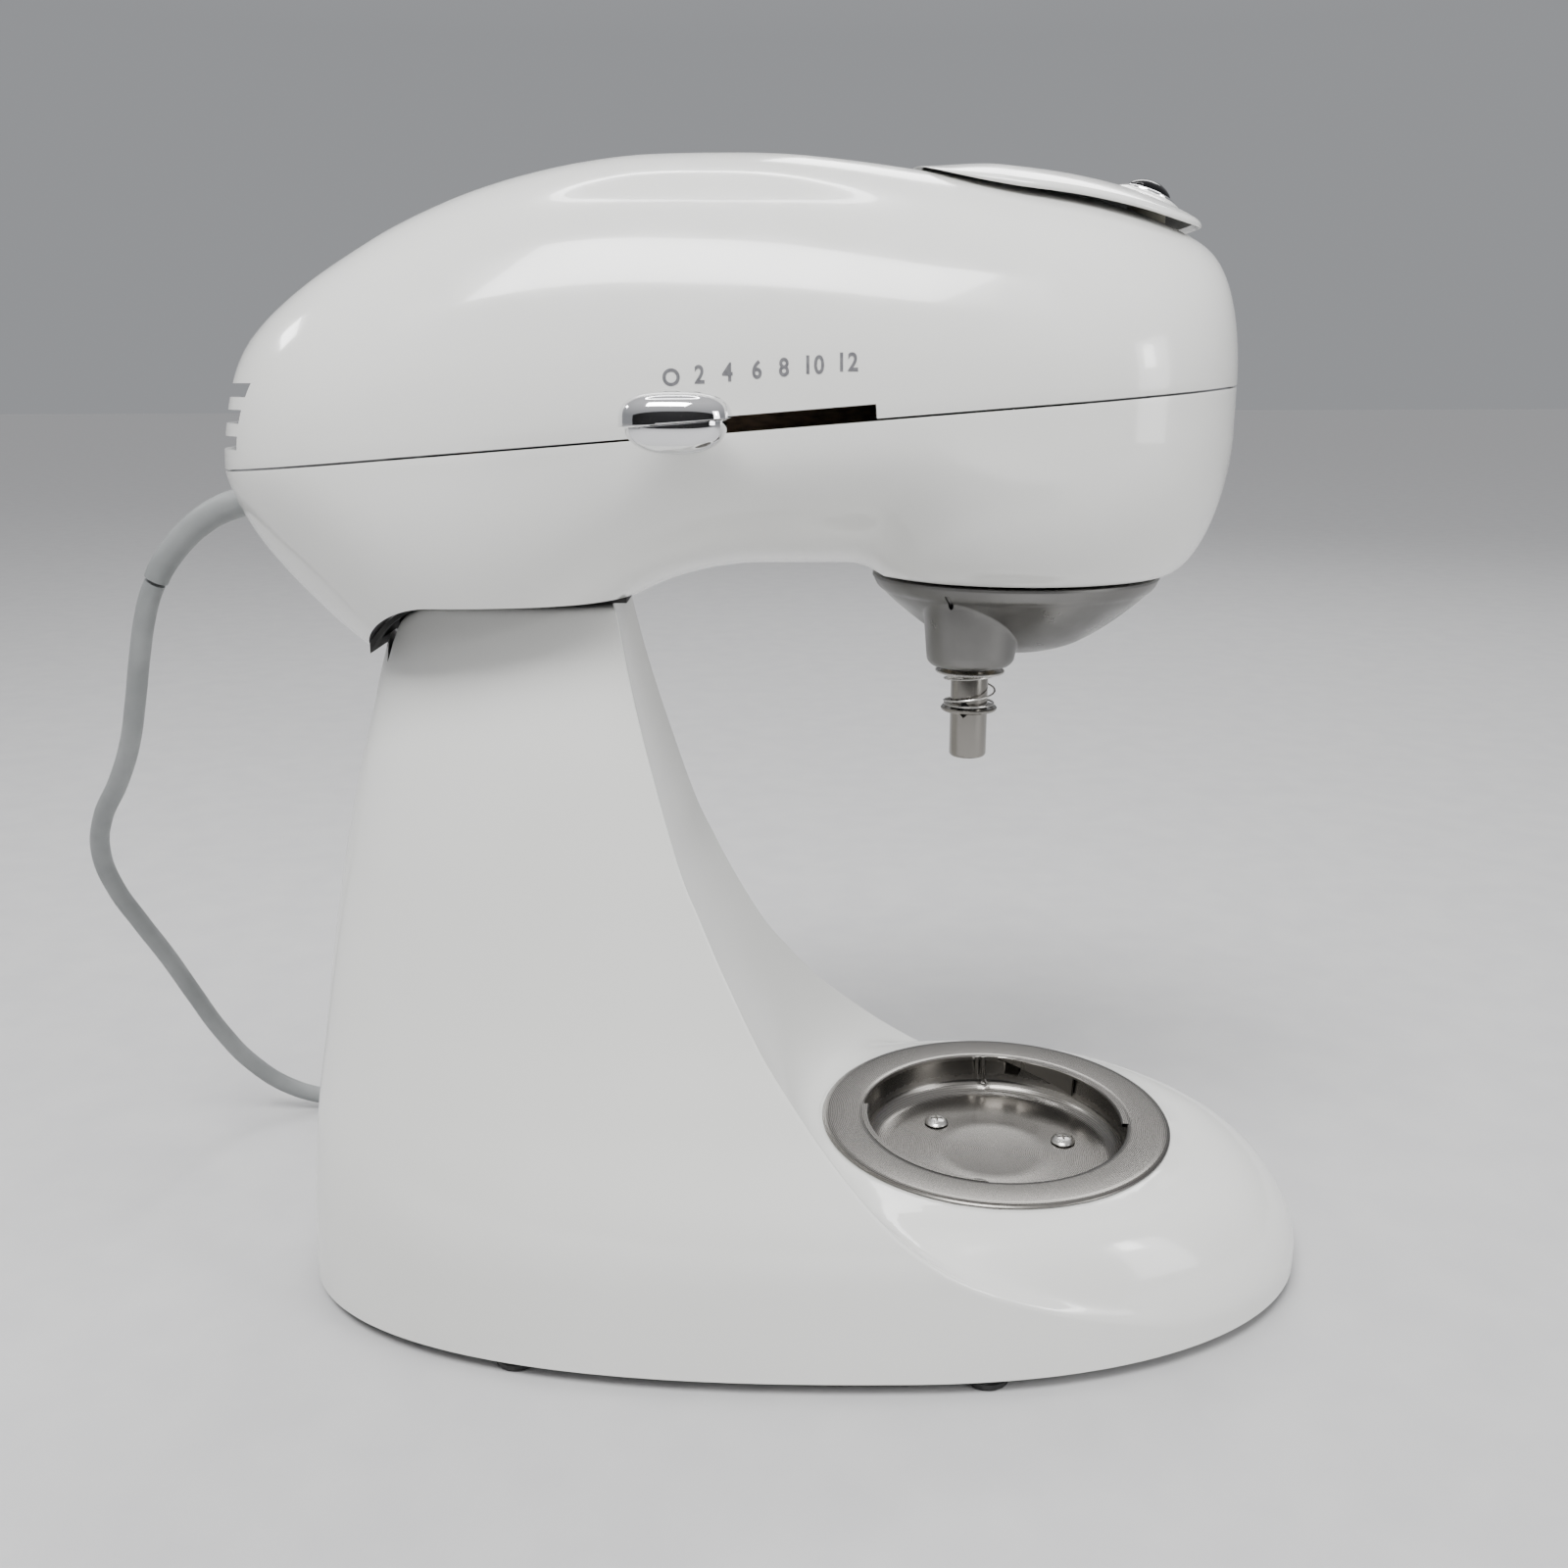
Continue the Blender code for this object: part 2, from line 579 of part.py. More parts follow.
def make_housings():
    upper = loft("upper_housing", [upper_ring(x, 0, 12) for x in head_stations(0, 21)])
    cut(upper, loft("upper_hollow", [upper_ring(x, WALL, 8) for x in head_stations(WALL, 11)]))
    lower = loft("lower_housing", [lower_ring(x, 0, 7) for x in head_stations(0, 22)])
    hollow = loft("lower_hollow", [lower_ring(x, WALL, 5) for x in head_stations(WALL, 12)])
    cut(hollow, *underside_tool("hollow_saddle", WALL))
    cut(lower, *underside_tool("saddle", 0), hollow)
    mouth = rod("gear_mouth", (AXIS_X, 0, 225), (AXIS_X, 0, 262), 41, sides=44)
    chamber = rod("gear_chamber", (AXIS_X, 0, 239.6), (AXIS_X, 0, 264), 45.2, sides=44)
    slots = [box("lug_slot", (-114.5, -9.8, 224), (-97.5, 9.8, 240)),
             box("striker_slot", (-88, -3.3, 224), (-72, 3.3, 240))]  # fmt: skip
    gland = rod("gland_hole", (-150, 0, 259), (-190, 0, 258), 5.2, sides=20)
    cut(lower, chamber, mouth, *slots, gland)
    cut_upper_openings(upper)


def cut_upper_openings(upper):
    """Air slots across the rear, the lever's slot on the near side, and outlets under the cover."""
    for n, z in enumerate((275.6, 282.2, 288.6)):
        cut(upper, box(f"air_slot_{n}", (-185, -27, z - 1.5), (-158, 27, z + 1.5)))
    tilt = math.atan(PARTING_SLOPE)
    x0, x1 = LEVER_X - 8, LEVER_X + LEVER_TRAVEL + 6
    middle = (x0 + x1) / 2
    z = parting(middle)
    cut(upper, box("lever_slot", (x0, -75, z - 6), (x1, -45, z + 4), (-tilt, "Y", (middle, 0, z))))
    for n, x in enumerate((62, 76, 90)):
        cut(upper, box(f"outlet_{n}", (x - 4.5, -20, 325), (x + 4.5, 20, 360)))


def head_surface(x, y):
    """Height of the upper housing's skin over a place in plan."""
    share = min(abs(y) / head_half_width(x), 1)
    base = parting(x)
    return base + (head_top(x) - base) * (1 - share**2.1) ** (1 / 2.1)


def cover_gap(x):
    """The cover lies on the head at its rear end and stands off it in front, where the air leaves."""
    share = min(max((x - COVER_X[0]) / (COVER_X[1] - COVER_X[0]), 0), 1)
    rise = COVER_RISE * math.sin(math.pi / 2 * min(share / 0.7, 1))
    return GAP + 0.35 + rise - COVER_DROOP * max(share - 0.7, 0) / 0.3


def make_cover():
    """The air outlet's cover: an oval visor that follows the head, with a round boss for the badge."""
    count = 22
    middle, long, wide = (COVER_X[0] + COVER_X[1]) / 2, (COVER_X[1] - COVER_X[0]) / 2, 32.0
    bm = bmesh.new()
    layers = []
    for lift in (0.0, COVER_SHEET):
        rows = []
        for r in (0.3, 0.65, 0.88, 1.0):
            row = []
            for i in range(count):
                a = 2 * math.pi * i / count
                x = middle + long * r * math.copysign(abs(math.cos(a)) ** 0.85, math.cos(a))
                y = wide * r * math.copysign(abs(math.sin(a)) ** 0.85, math.sin(a))
                row.append(bm.verts.new(Vector((x, y, head_surface(x, y) + cover_gap(x) + lift)) * MM))
            rows.append(row)
        layers.append(rows)
    for rows in layers:
        for a, b in zip(rows, rows[1:]):
            for i in range(count):
                bm.faces.new((a[i], a[(i + 1) % count], b[(i + 1) % count], b[i]))
        bm.faces.new(rows[0])
    for i in range(count):
        a, b = layers[0][-1], layers[1][-1]
        bm.faces.new((a[i], a[(i + 1) % count], b[(i + 1) % count], b[i]))
    cover = add("vent_cover", bm)
    x, z = BADGE
    out = Vector((math.sin(BADGE_LEAN), 0, math.cos(BADGE_LEAN)))
    centre = Vector((x, 0, z))
    boss = rod("badge_boss", centre - out * 5.5, centre, 10.2, 9.6, 28)
    clips = []
    for y in (-12, 12):
        skin = head_surface(76, y)
        clips.append(rod(f"cover_clip_{y}", (76, y, skin - 5), (76, y, skin + 4), 3, sides=12))
    join(cover, boss, *clips)
    cut(cover, rod("badge_well", centre - out * 2.2, centre + out * 9, 8.6, sides=28))
    bezel = ring("badge_bezel", 6.6, 8.3, -1.9, 1.2, steps=28)
    dome = turned("badge_dome", [(0, 2.0), (3, 1.7), (5, 0.9), (6.3, -0.3), (6.3, -1.9), (0, -1.9)], steps=28)
    lean = Matrix.Translation(centre * MM) @ Matrix.Rotation(BADGE_LEAN, 4, "Y")
    bezel.data.transform(lean)
    dome.data.transform(lean)


def make_head_bracket():
    """The casting bolted to the head's floor: hinge lug behind, lock striker in front."""
    x, z = PIVOT
    floor = z + SADDLE_R + HEAD_CLEARANCE + WALL + GAP
    plate = box("head_hinge_bracket", (-119, -14, floor), (-66, 14, floor + 3))
    lug = box("lug", (x - 7, -9, z), (x + 7, 9, floor + 1))
    eye = rod("eye", (x, -9, z), (x, 9, z), 9, sides=28)
    striker = box("striker", (LOCK[0] - 10, -2.5, LOCK[1] - 9), (LOCK[0] - 5.2, 2.5, floor + 1))
    lip = box("striker_lip", (LOCK[0] - 9, -2.5, LOCK[1] - 9), (LOCK[0] - 0.6, 2.5, LOCK[1] - 5))
    join(plate, lug, eye, striker, lip)
    cut(plate, rod("eye_bore", (x, -30, z), (x, 30, z), 4 + GAP, sides=28))


def make_motor():
    """Universal motor lying along the head, beside the worm wheel."""
    y, z = MOTOR_Y, MOTOR_Z
    rear, front = -98, -62
    length = front - rear
    along_x(ring("motor_core", 17, 23.5, -length / 2, length / 2), (rear + front) / 2, y, z)
    along_x(ring("field_coil_front", 17.6, 22.3, -3.5, 3.5), front + 4, y, z)
    along_x(ring("field_coil_rear", 17.6, 22.3, -3.5, 3.5), rear - 4, y, z)
    along_x(ring("motor_bracket_front", 4 + GAP, 23.5, -2, 2), -34, y, z)
    along_x(ring("motor_bracket_rear", 4 + GAP, 16, -2.5, 2.5), -127, y, z)
    for name, way in (("brush_upper", 1), ("brush_lower", -1)):
        low, high = sorted((z + way * (10 + GAP), z + way * 21))
        box(name, (-118, y - 3, low), (-112, y + 3, high))
    core_outline = []
    for n in range(12):
        for share, r in ((0.08, 12.5), (0.2, 16.2), (0.5, 16.4), (0.8, 16.2), (0.92, 12.5)):
            a = 2 * math.pi * (n + share) / 12
            core_outline.append((r * math.cos(a), r * math.sin(a)))
    core = outline_plate("armature_core", core_outline, -length / 2, length / 2)
    cut(core, rod("core_bore", (0, 0, -40), (0, 0, 40), 4 + GAP))
    along_x(core, (rear + front) / 2, y, z)
    along_x(ring("commutator", 4 + GAP, 10, -5.5, 5.5, steps=24), -114, y, z)
    fan = []
    for n in range(9):
        for share, r in ((0.0, 9), (0.1, 21.5), (0.3, 22), (0.42, 10)):
            a = 2 * math.pi * (n + share + (0.25 if r > 12 else 0)) / 9
            fan.append((r * math.cos(a), r * math.sin(a)))
    blades = outline_plate("cooling_fan", fan, -3.5, 3.5)
    cut(blades, rod("fan_bore", (0, 0, -20), (0, 0, 20), 4 + GAP))
    along_x(blades, -46, y, z)
    make_armature_shaft()


def make_armature_shaft():
    """The motor's shaft, with the worm's single thread cut on its front end."""
    y, z = MOTOR_Y, MOTOR_Z
    shaft = rod("armature_shaft", (-131, y, z), (82, y, z), 4, sides=20)
    lead = math.pi * WHEEL_MODULE
    turns, steps = 4, 10
    bm = bmesh.new()
    start = AXIS_X - turns * lead / 2
    # at rest a thread crest points at the wheel between two of its teeth
    half_root, half_crest = 0.30 * lead, 0.13 * lead
    corners = [(start - half_root, 3.2), (start - half_crest, WORM_R + 1.0), (start + half_crest, WORM_R + 1.0),
               (start + half_root, 3.2)]  # fmt: skip
    face = bm.faces.new([bm.verts.new(Vector((a, y - r, z)) * MM) for a, r in corners])
    bmesh.ops.spin(
        bm, geom=[face], cent=Vector((0, y, z)) * MM, axis=(1, 0, 0), dvec=Vector((lead / steps, 0, 0)) * MM,
        angle=2 * math.pi * turns, steps=turns * steps,
    )  # fmt: skip
    thread = add("worm_thread", bm)
    join(shaft, thread)


def involute_outline(teeth, module, tip, root, backlash, internal=False):
    """A gear's outline with straight flanks between two points, on involutes of 20 degrees pressure angle."""
    pitch_r = module * teeth / 2
    base_r = pitch_r * math.cos(math.radians(20))
    inv = math.tan(math.radians(20)) - math.radians(20)
    half = math.pi / (2 * teeth) + (backlash if internal else -backlash) / (2 * pitch_r)
    low, high = sorted((tip, root))

    def half_angle(r):
        if r <= base_r:
            return half + inv
        a = math.acos(base_r / r)
        return half + inv - (math.tan(a) - a)

    points = []
    radii = [low + (high - low) * t for t in (0, 1)]
    for n in range(teeth):
        centre = 2 * math.pi * n / teeth
        for r in radii:
            a = centre - half_angle(r)
            points.append((r * math.cos(a), r * math.sin(a)))
        for r in reversed(radii):
            a = centre + half_angle(r)
            points.append((r * math.cos(a), r * math.sin(a)))
    return points


def turn_to(made, angle, centre=(0, 0)):
    place = Matrix.Translation((centre[0] * MM, centre[1] * MM, 0))
    made.data.transform(place @ Matrix.Rotation(angle, 4, "Z"))
    return made


def make_gears():
    """Ring gear in the nose, pinion on the beater shaft, worm wheel on the main shaft."""
    ring_r = MODULE * RING_TEETH / 2
    tip, root = ring_r - 0.75 * MODULE, ring_r + 1.15 * MODULE
    space = involute_outline(RING_TEETH, MODULE, tip, root, 0.5, internal=True)
    gear = rod("ring_gear", (0, 0, 239.9), (0, 0, 249.9), 44.2, sides=38)
    cut(gear, outline_plate("ring_space", space, 238, 252))
    turn_to(gear, ORBIT_ANGLE, (AXIS_X, 0))
    x, y = beater_axis()
    pinion_r = MODULE * PINION_TEETH / 2
    teeth = involute_outline(PINION_TEETH, MODULE, pinion_r + 0.8 * MODULE, pinion_r - 1.15 * MODULE, 0.5)
    pinion = outline_plate("beater_pinion", teeth, 240.2, 248.2)
    cut(pinion, rod("pinion_bore", (0, 0, 230), (0, 0, 260), SHAFT_R + GAP))
    turn_to(pinion, ORBIT_ANGLE, (x, y))
    wheel_r = WHEEL_MODULE * WHEEL_TEETH / 2
    thick = 9.0
    lead_angle = math.atan(WHEEL_MODULE / (2 * WORM_R))
    twist = thick * math.tan(lead_angle) / wheel_r
    tip, root = wheel_r + 0.8 * WHEEL_MODULE, wheel_r - 1.1 * WHEEL_MODULE
    teeth = involute_outline(WHEEL_TEETH, WHEEL_MODULE, tip, root, 0.55)
    wheel = outline_plate("worm_wheel", teeth, -thick / 2, thick / 2, twist)
    turn_to(wheel, -twist / 2)
    cut(wheel, rod("wheel_bore", (0, 0, -20), (0, 0, 20), 6 + GAP))
    turn_to(wheel, math.pi / 2 + math.pi / WHEEL_TEETH)
    wheel.data.transform(Matrix.Translation((AXIS_X * MM, 0, MOTOR_Z * MM)))


def beater_axis():
    return AXIS_X + ORBIT_R * math.cos(ORBIT_ANGLE), ORBIT_R * math.sin(ORBIT_ANGLE)


def make_planetary():
    """The cap that carries the beater shaft round, with its boss and bush."""
    x, y = beater_axis()
    profile = [
        (0, 239.2), (35.8, 239.2), (35.8, CAP_TOP_Z), (CAP_R, CAP_TOP_Z), (CAP_R - 0.6, 233.2), (40.3, 229.6),
        (35, 224.8), (28, 219.5), (20, 215.4), (10, 212.2), (0, 211.2),
    ]  # fmt: skip
    cap = turned("planetary_cap", profile, (AXIS_X, 0), 32)
    boss = rod("boss", (x, y, 213), (x, y, 232), 12.2, sides=28)
    boss_end = rod("boss_end", (x, y, 209.8), (x, y, 213.05), 8.0, 12.2, sides=28)
    join(cap, boss, boss_end)
    cut(cap, rod("shaft_socket", (AXIS_X, 0, 226), (AXIS_X, 0, 250), 6 + GAP),
        rod("bush_socket", (x, y, 200), (x, y, 250), 8 + GAP))  # fmt: skip
    rod("main_shaft", (AXIS_X, 0, 226.4), (AXIS_X, 0, 292), 6)
    ring("beater_bush", SHAFT_R + GAP, 8, 210.4, 239.2, (x, y), 24)
    ring("seal_ring", 36.4, 40.6, 236.2, 239.0, (AXIS_X, 0), 28)
    cover = [
        (49, 257.5), (49, 254.5), (45.5, 254.5), (45.5, 250.2), (41.5, 250.2), (41.5, 253),
        (9.3, 253), (9.3, 257.5),
    ]  # fmt: skip
    turned("gearbox_cover", cover, (AXIS_X, 0), 28, closed=True)
    ring("shaft_bush", 6 + GAP, 9, 252, 260.5, (AXIS_X, 0), 24)


def make_beater():
    """Beater shaft with its cross pin, thrust washer, spring and the washer that locks a beater."""
    x, y = beater_axis()
    end = SHAFT_END_Z
    profile = [(0, 249), (SHAFT_R, 249), (SHAFT_R, end + 0.8), (SHAFT_R - 0.8, end), (0, end)]
    shaft = turned("beater_shaft", profile, (x, y), 24)
    a = ORBIT_ANGLE + math.radians(14)
    ux, uy = math.cos(a), math.sin(a)

    def across(name, half, radius):
        dx, dy = half * ux, half * uy
        return rod(name, (x - dx, y - dy, PIN_Z), (x + dx, y + dy, PIN_Z), radius, sides=16)

    cut(shaft, across("pin_hole", 9, PIN_R + GAP))
    across("drive_pin", 5.3, PIN_R)
    ring("upper_washer", SHAFT_R + GAP, 9.4, 208.2, 209.5, (x, y), 24)
    ring("lock_washer", SHAFT_R + GAP, 7.7, LOCK_WASHER_Z, LOCK_WASHER_Z + 1.5, (x, y), 28)
    spring_low, spring_high = LOCK_WASHER_Z + 1.5 + GAP + 0.65, 208.2 - GAP - 0.65
    turns, per_turn = 2.5, 10
    places = []
    for i in range(int(turns * per_turn) + 1):
        share = i / (turns * per_turn)
        turn = 2 * math.pi * turns * share
        height = spring_low + (spring_high - spring_low) * share
        places.append((x + 7.0 * math.cos(turn), y + 7.0 * math.sin(turn), height))
    tube("beater_spring", places, 0.6, resolution=1)


# ---- controls ----
def make_lever():
    """Two-part knob outside the slot, an arm through it and a plate on the track inside."""
    x, slope = LEVER_X, math.atan(PARTING_SLOPE)
    z = parting(x) + 2.2
    arm = box("lever_arm", (x - 4.5, -70, z - 1.2), (x + 4.5, -44, z + 1.2))
    join(arm, box("arm_plate", (x - 9, -46.2, z - 13), (x + 9, -43.6, z + 1.2)))
    split = z + 1.7
    halves = {
        "knob_upper": (29.2, 9.6, (split - 20, split)),
        "knob_lower": (26.4, 8.8, (split - GAP, split + 20)),
    }
    for name, (wide, deep, (low, high)) in halves.items():
        bm = bmesh.new()
        bmesh.ops.create_uvsphere(bm, u_segments=18, v_segments=10, radius=1)
        for v in bm.verts:
            v.co = Vector((x + v.co.x * wide / 2, KNOB_Y + v.co.y * deep, split + v.co.z * KNOB_RISE)) * MM
        cut(add(name, bm), box(name + "_split", (x - 30, -100, low), (x + 30, -40, high)))
    socket = box("knob_socket", (x - 4.8, -70.4, z - 1.5), (x + 4.8, -50, z + 1.5))
    cut(bpy.data.objects["knob_lower"], socket)
    for piece in ("knob_upper", "knob_lower", "lever_arm"):
        turn = Matrix.Rotation(-slope, 4, "Y")
        centre = Vector((x, 0, z)) * MM
        bpy.data.objects[piece].data.transform(Matrix.Translation(centre) @ turn @ Matrix.Translation(-centre))
    middle = x + LEVER_TRAVEL / 2
    height = parting(middle)
    leaning = (-slope, "Y", (middle, 0, height))
    box("lever_track", (middle - 36, -49.2, height - 11), (middle + 36, -46.5, height - 5), leaning)
    board = box("speed_board", (-50, -40, 261), (20, -38.4, 276))
    triac = box("triac", (-40, -39, 263), (-28, -34, 273))
    join(board, triac, box("capacitor", (-16, -39, 263), (6, -31, 273)))


# ---- cord ----
CORD_ROUTE = [
    (-200.3, 0.0, 232.8), (-201.9, 0.1, 229.7), (-204.9, 1.0, 222.5), (-209.5, 4.0, 209.0),
    (-214.5, 8.5, 194.0), (-220.5, 14.0, 178.5), (-229.5, 21.5, 163.0), (-240.0, 29.0, 148.0),
    (-246.0, 37.0, 133.0), (-246.5, 45.0, 117.5),
    (-243.0, 54.0, 100.5), (-238.5, 63.5, 82.5), (-234.5, 73.0, 63.5), (-229.5, 82.0, 44.0),
    (-221.0, 90.5, 25.0), (-209.0, 97.0, 11.5), (-195.0, 100.5, 5.2), (-180.0, 101.0, 3.8), (-165.0, 99.5, 3.5),
    (-153.0, 98.3, 3.5), (-141.9, 97.8, 3.5),
]  # fmt: skip


def smooth_route(points, spacing):
    """Points at even steps along a Catmull-Rom curve through the route."""
    p = [Vector(q) for q in points]
    p = [p[0] * 2 - p[1], *p, p[-1] * 2 - p[-2]]
    fine = []
    for i in range(1, len(p) - 2):
        a, b, c, d = p[i - 1 : i + 3]
        for k in range(20):
            t = k / 20
            square, cube = 2 * a - 5 * b + 4 * c - d, 3 * b - a - 3 * c + d
            fine.append(0.5 * (2 * b + (c - a) * t + square * t * t + cube * t**3))
    fine.append(p[-2])
    along = np.concatenate([[0], np.cumsum([(b - a).length for a, b in zip(fine, fine[1:])])])
    at = np.linspace(0, along[-1], int(along[-1] / spacing) + 1)
    xyz = np.array(fine)
    return [tuple(np.interp(s, along, xyz[:, k]) for k in range(3)) for s in at]


def make_cord():
    relief = [(-158, 0, 258.6), (-166, 0, 258.3), (-172, 0, 257.2), (-178.5, 0, 254.8), (-184.5, 0, 251.2),
              (-190, 0, 246.6), (-194.6, 0, 241.6), (-197.9, 0, 237.2), (-199.8, 0, 233.8)]  # fmt: skip
    relief = smooth_route(relief, 4.0)
    tube("strain_relief", relief, 4.65, [4.65 - 0.95 * i / (len(relief) - 1) for i in range(len(relief))], 2)
    tube("power_cord", smooth_route(CORD_ROUTE, 11), CORD_R, resolution=2)
    outer, inner = COIL_R + 7.6, COIL_R - 10.5
    ring("cord_coil", inner, outer, 0.3, 20, COIL_CENTRE, 28)
    x, y, z = PLUG
    body = box("plug_body", (x, y - 12, z - 8), (x + 30, y + 12, z + 8))
    neck = rod("plug_neck", (x - 12, y, z), (x + 2, y, z), 4.2, 7.5, 20)
    join(body, neck)
    for name, side in (("plug_blade_right", -1), ("plug_blade_left", 1)):
        middle = y + side * 6.35
        box(name, (x + 30 + GAP, middle - 0.75, z - 3.2), (x + 47, middle + 0.75, z + 3.2))


# ---- materials ----
FINISHES = {
    "white_paint": ((0.83, 0.83, 0.81), 0.18, 0.0),
    "black_plastic": ((0.02, 0.02, 0.02), 0.5, 0.0),
    "black_rubber": ((0.03, 0.03, 0.03), 0.8, 0.0),
    "brushed_steel": ((0.56, 0.55, 0.53), 0.3, 1.0),
    "die_cast_metal": ((0.45, 0.45, 0.44), 0.4, 1.0),
    "chrome": ((0.8, 0.8, 0.8), 0.06, 1.0),
    "grey_cord": ((0.33, 0.34, 0.34), 0.55, 0.0),
    "copper": ((0.7, 0.35, 0.2), 0.4, 1.0),
    "laminated_steel": ((0.3, 0.3, 0.32), 0.5, 1.0),
    "brass": ((0.7, 0.55, 0.25), 0.35, 1.0),
    "nylon": ((0.85, 0.83, 0.75), 0.5, 0.0),
    "green_board": ((0.05, 0.25, 0.1), 0.5, 0.0),
    "carbon": ((0.05, 0.05, 0.05), 0.7, 0.0),
}  # fmt: skip
WEARS = {
    "white_paint": ("stand_casting", "upper_housing", "lower_housing", "vent_cover"),
    "black_plastic": ("base_cover", "lock_lever", "cooling_fan", "badge_dome", "lever_track"),
    "black_rubber": ("foot_", "seal_ring"),
    "brushed_steel": ("clamp_dish", "dish_screw", "upper_washer", "lock_washer", "beater_shaft", "beater_spring",
                      "hinge_pin", "main_shaft", "armature_shaft", "lock_shaft", "drive_pin", "lever_arm"),
    "die_cast_metal": ("planetary_cap", "head_hinge_bracket", "gearbox_cover", "motor_bracket"),
    "chrome": ("badge_bezel", "knob_"),
    "grey_cord": ("power_cord", "cord_coil", "plug_body", "strain_relief"),
    "copper": ("field_coil", "commutator"),
    "laminated_steel": ("motor_core", "armature_core", "ring_gear", "beater_pinion"),
    "brass": ("hinge_bush", "shaft_bush", "beater_bush", "plug_blade"),
    "nylon": ("worm_wheel",),
    "green_board": ("speed_board",),
    "carbon": ("brush_",),
}  # fmt: skip


def paint():
    """Each piece gets a material of its own, in the finish it wears."""
    for piece in PARTS.objects:
        finish = next(finish for finish, starts in WEARS.items() if piece.name.startswith(starts))
        colour, rough, metal = FINISHES[finish]
        made = bpy.data.materials.new(piece.name)
        made.use_nodes = True
        shader = made.node_tree.nodes["Principled BSDF"]
        shader.inputs["Base Color"].default_value = (*colour, 1)
        shader.inputs["Roughness"].default_value = rough
        shader.inputs["Metallic"].default_value = metal
        piece.data.materials.clear()
        piece.data.materials.append(made)


clear()
make_stand_casting()
make_base()
make_dish()
make_hinge()
make_lock()
make_housings()
make_cover()
make_head_bracket()
make_motor()
make_gears()
make_planetary()
make_beater()
make_lever()
make_cord()
paint()
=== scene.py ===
# %% [markdown]
# # A tilt-head stand mixer
# This script dresses a packed mixer: a hollow oval head on a swept column, a planetary cap that
# carries the beater shaft round, a stainless dish for the bowl's foot, and a cord at the back.
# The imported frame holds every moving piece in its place. The cells below replace the coarse shells
# with smooth ones, turn the small round pieces on a lathe, and give every surface a finish.

# %% Load the frame
import math
from bisect import bisect_left

import bpy
from mathutils import Matrix, Vector


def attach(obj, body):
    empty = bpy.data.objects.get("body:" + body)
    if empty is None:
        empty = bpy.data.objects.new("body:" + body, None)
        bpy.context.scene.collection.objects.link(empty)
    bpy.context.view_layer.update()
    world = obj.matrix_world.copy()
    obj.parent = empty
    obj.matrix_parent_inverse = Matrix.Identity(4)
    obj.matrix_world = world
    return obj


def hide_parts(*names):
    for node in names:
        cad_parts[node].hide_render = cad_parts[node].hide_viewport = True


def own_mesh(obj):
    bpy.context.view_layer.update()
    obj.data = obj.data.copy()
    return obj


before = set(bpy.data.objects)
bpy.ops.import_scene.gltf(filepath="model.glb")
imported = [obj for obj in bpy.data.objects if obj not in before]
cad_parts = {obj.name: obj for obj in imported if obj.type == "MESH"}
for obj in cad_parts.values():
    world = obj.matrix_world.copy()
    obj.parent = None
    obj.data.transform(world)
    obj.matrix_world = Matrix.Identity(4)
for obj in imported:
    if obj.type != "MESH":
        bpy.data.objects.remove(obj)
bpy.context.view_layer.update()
MM = 0.001  # the sizes below are in millimetres

# %% [markdown]
# ## The camera
# The mixer is seen square from its right side, from a little above and quite close, so its lens is
# wide. The camera looks along +Y, tips down by its pitch, and leans by a hair.

# %% Camera
LENS, SENSOR = 33.75, 36.0
CAMERA_AT = Vector((-5.7, -458.0, 292.6)) * MM
PITCH, YAW, ROLL = 0.2671, 0.0019, -0.0032

bpy.ops.object.camera_add(location=CAMERA_AT)
camera = bpy.context.object
camera.name = "camera"
camera.data.lens, camera.data.sensor_width = LENS, SENSOR
camera.data.clip_start = 0.01
turn = Matrix.Rotation(-YAW, 4, "Z") @ Matrix.Rotation(math.pi / 2 - PITCH, 4, "X") @ Matrix.Rotation(ROLL, 4, "Z")
camera.rotation_euler = turn.to_euler()
bpy.context.scene.camera = camera
print("camera looks down by", round(math.degrees(PITCH), 1), "degrees")

# %% [markdown]
# ## The cord
# A mixer's lead is a round two-core PVC cord, 6.5 mm thick and about 1.3 m long. It hangs from its
# strain relief, swings out behind the column, lands beside the base and is wound into four turns
# behind it. A Bezier curve with automatic handles passes smoothly through listed points, and the
# turns come from a loop.

# %% Cord route
CORD_R, CORD_STEPS = 3.25, 6  # the radius, and the steps from one point to the next
COIL = Vector((-112.0, 132.0, 0.0))
LANES = (38.3, 31.7)  # radii of the outer and the inner turns
LAYERS = (3.5, 10.2)  # heights of the lower and the upper turns
HANGING = [
    (-200.3, 0.0, 232.8), (-201.9, 0.1, 229.7), (-204.9, 1.0, 222.5), (-209.5, 4.0, 209.0), (-214.5, 8.5, 194.0),
    (-220.5, 14.0, 178.5), (-229.5, 21.5, 163.0), (-240.0, 29.0, 148.0), (-246.0, 37.0, 133.0),
    (-246.5, 45.0, 117.5), (-243.0, 54.0, 100.5), (-238.5, 63.5, 82.5), (-234.5, 73.0, 63.5),
    (-229.5, 82.0, 44.0), (-221.0, 90.5, 25.0), (-209.0, 97.0, 11.5), (-195.0, 100.5, 5.2),
    (-180.0, 101.0, 3.8), (-165.0, 99.5, 3.5), (-153.0, 98.3, 3.5), (-141.9, 97.4, 3.5), (-127.0, 95.2, 3.5),
]  # fmt: skip
LEAVING = [(-100.5, 95.2, 10.2), (-91.0, 97.9, 10.2), (-83.5, 100.2, 9.3), (-77.4, 101.0, 8.4)]


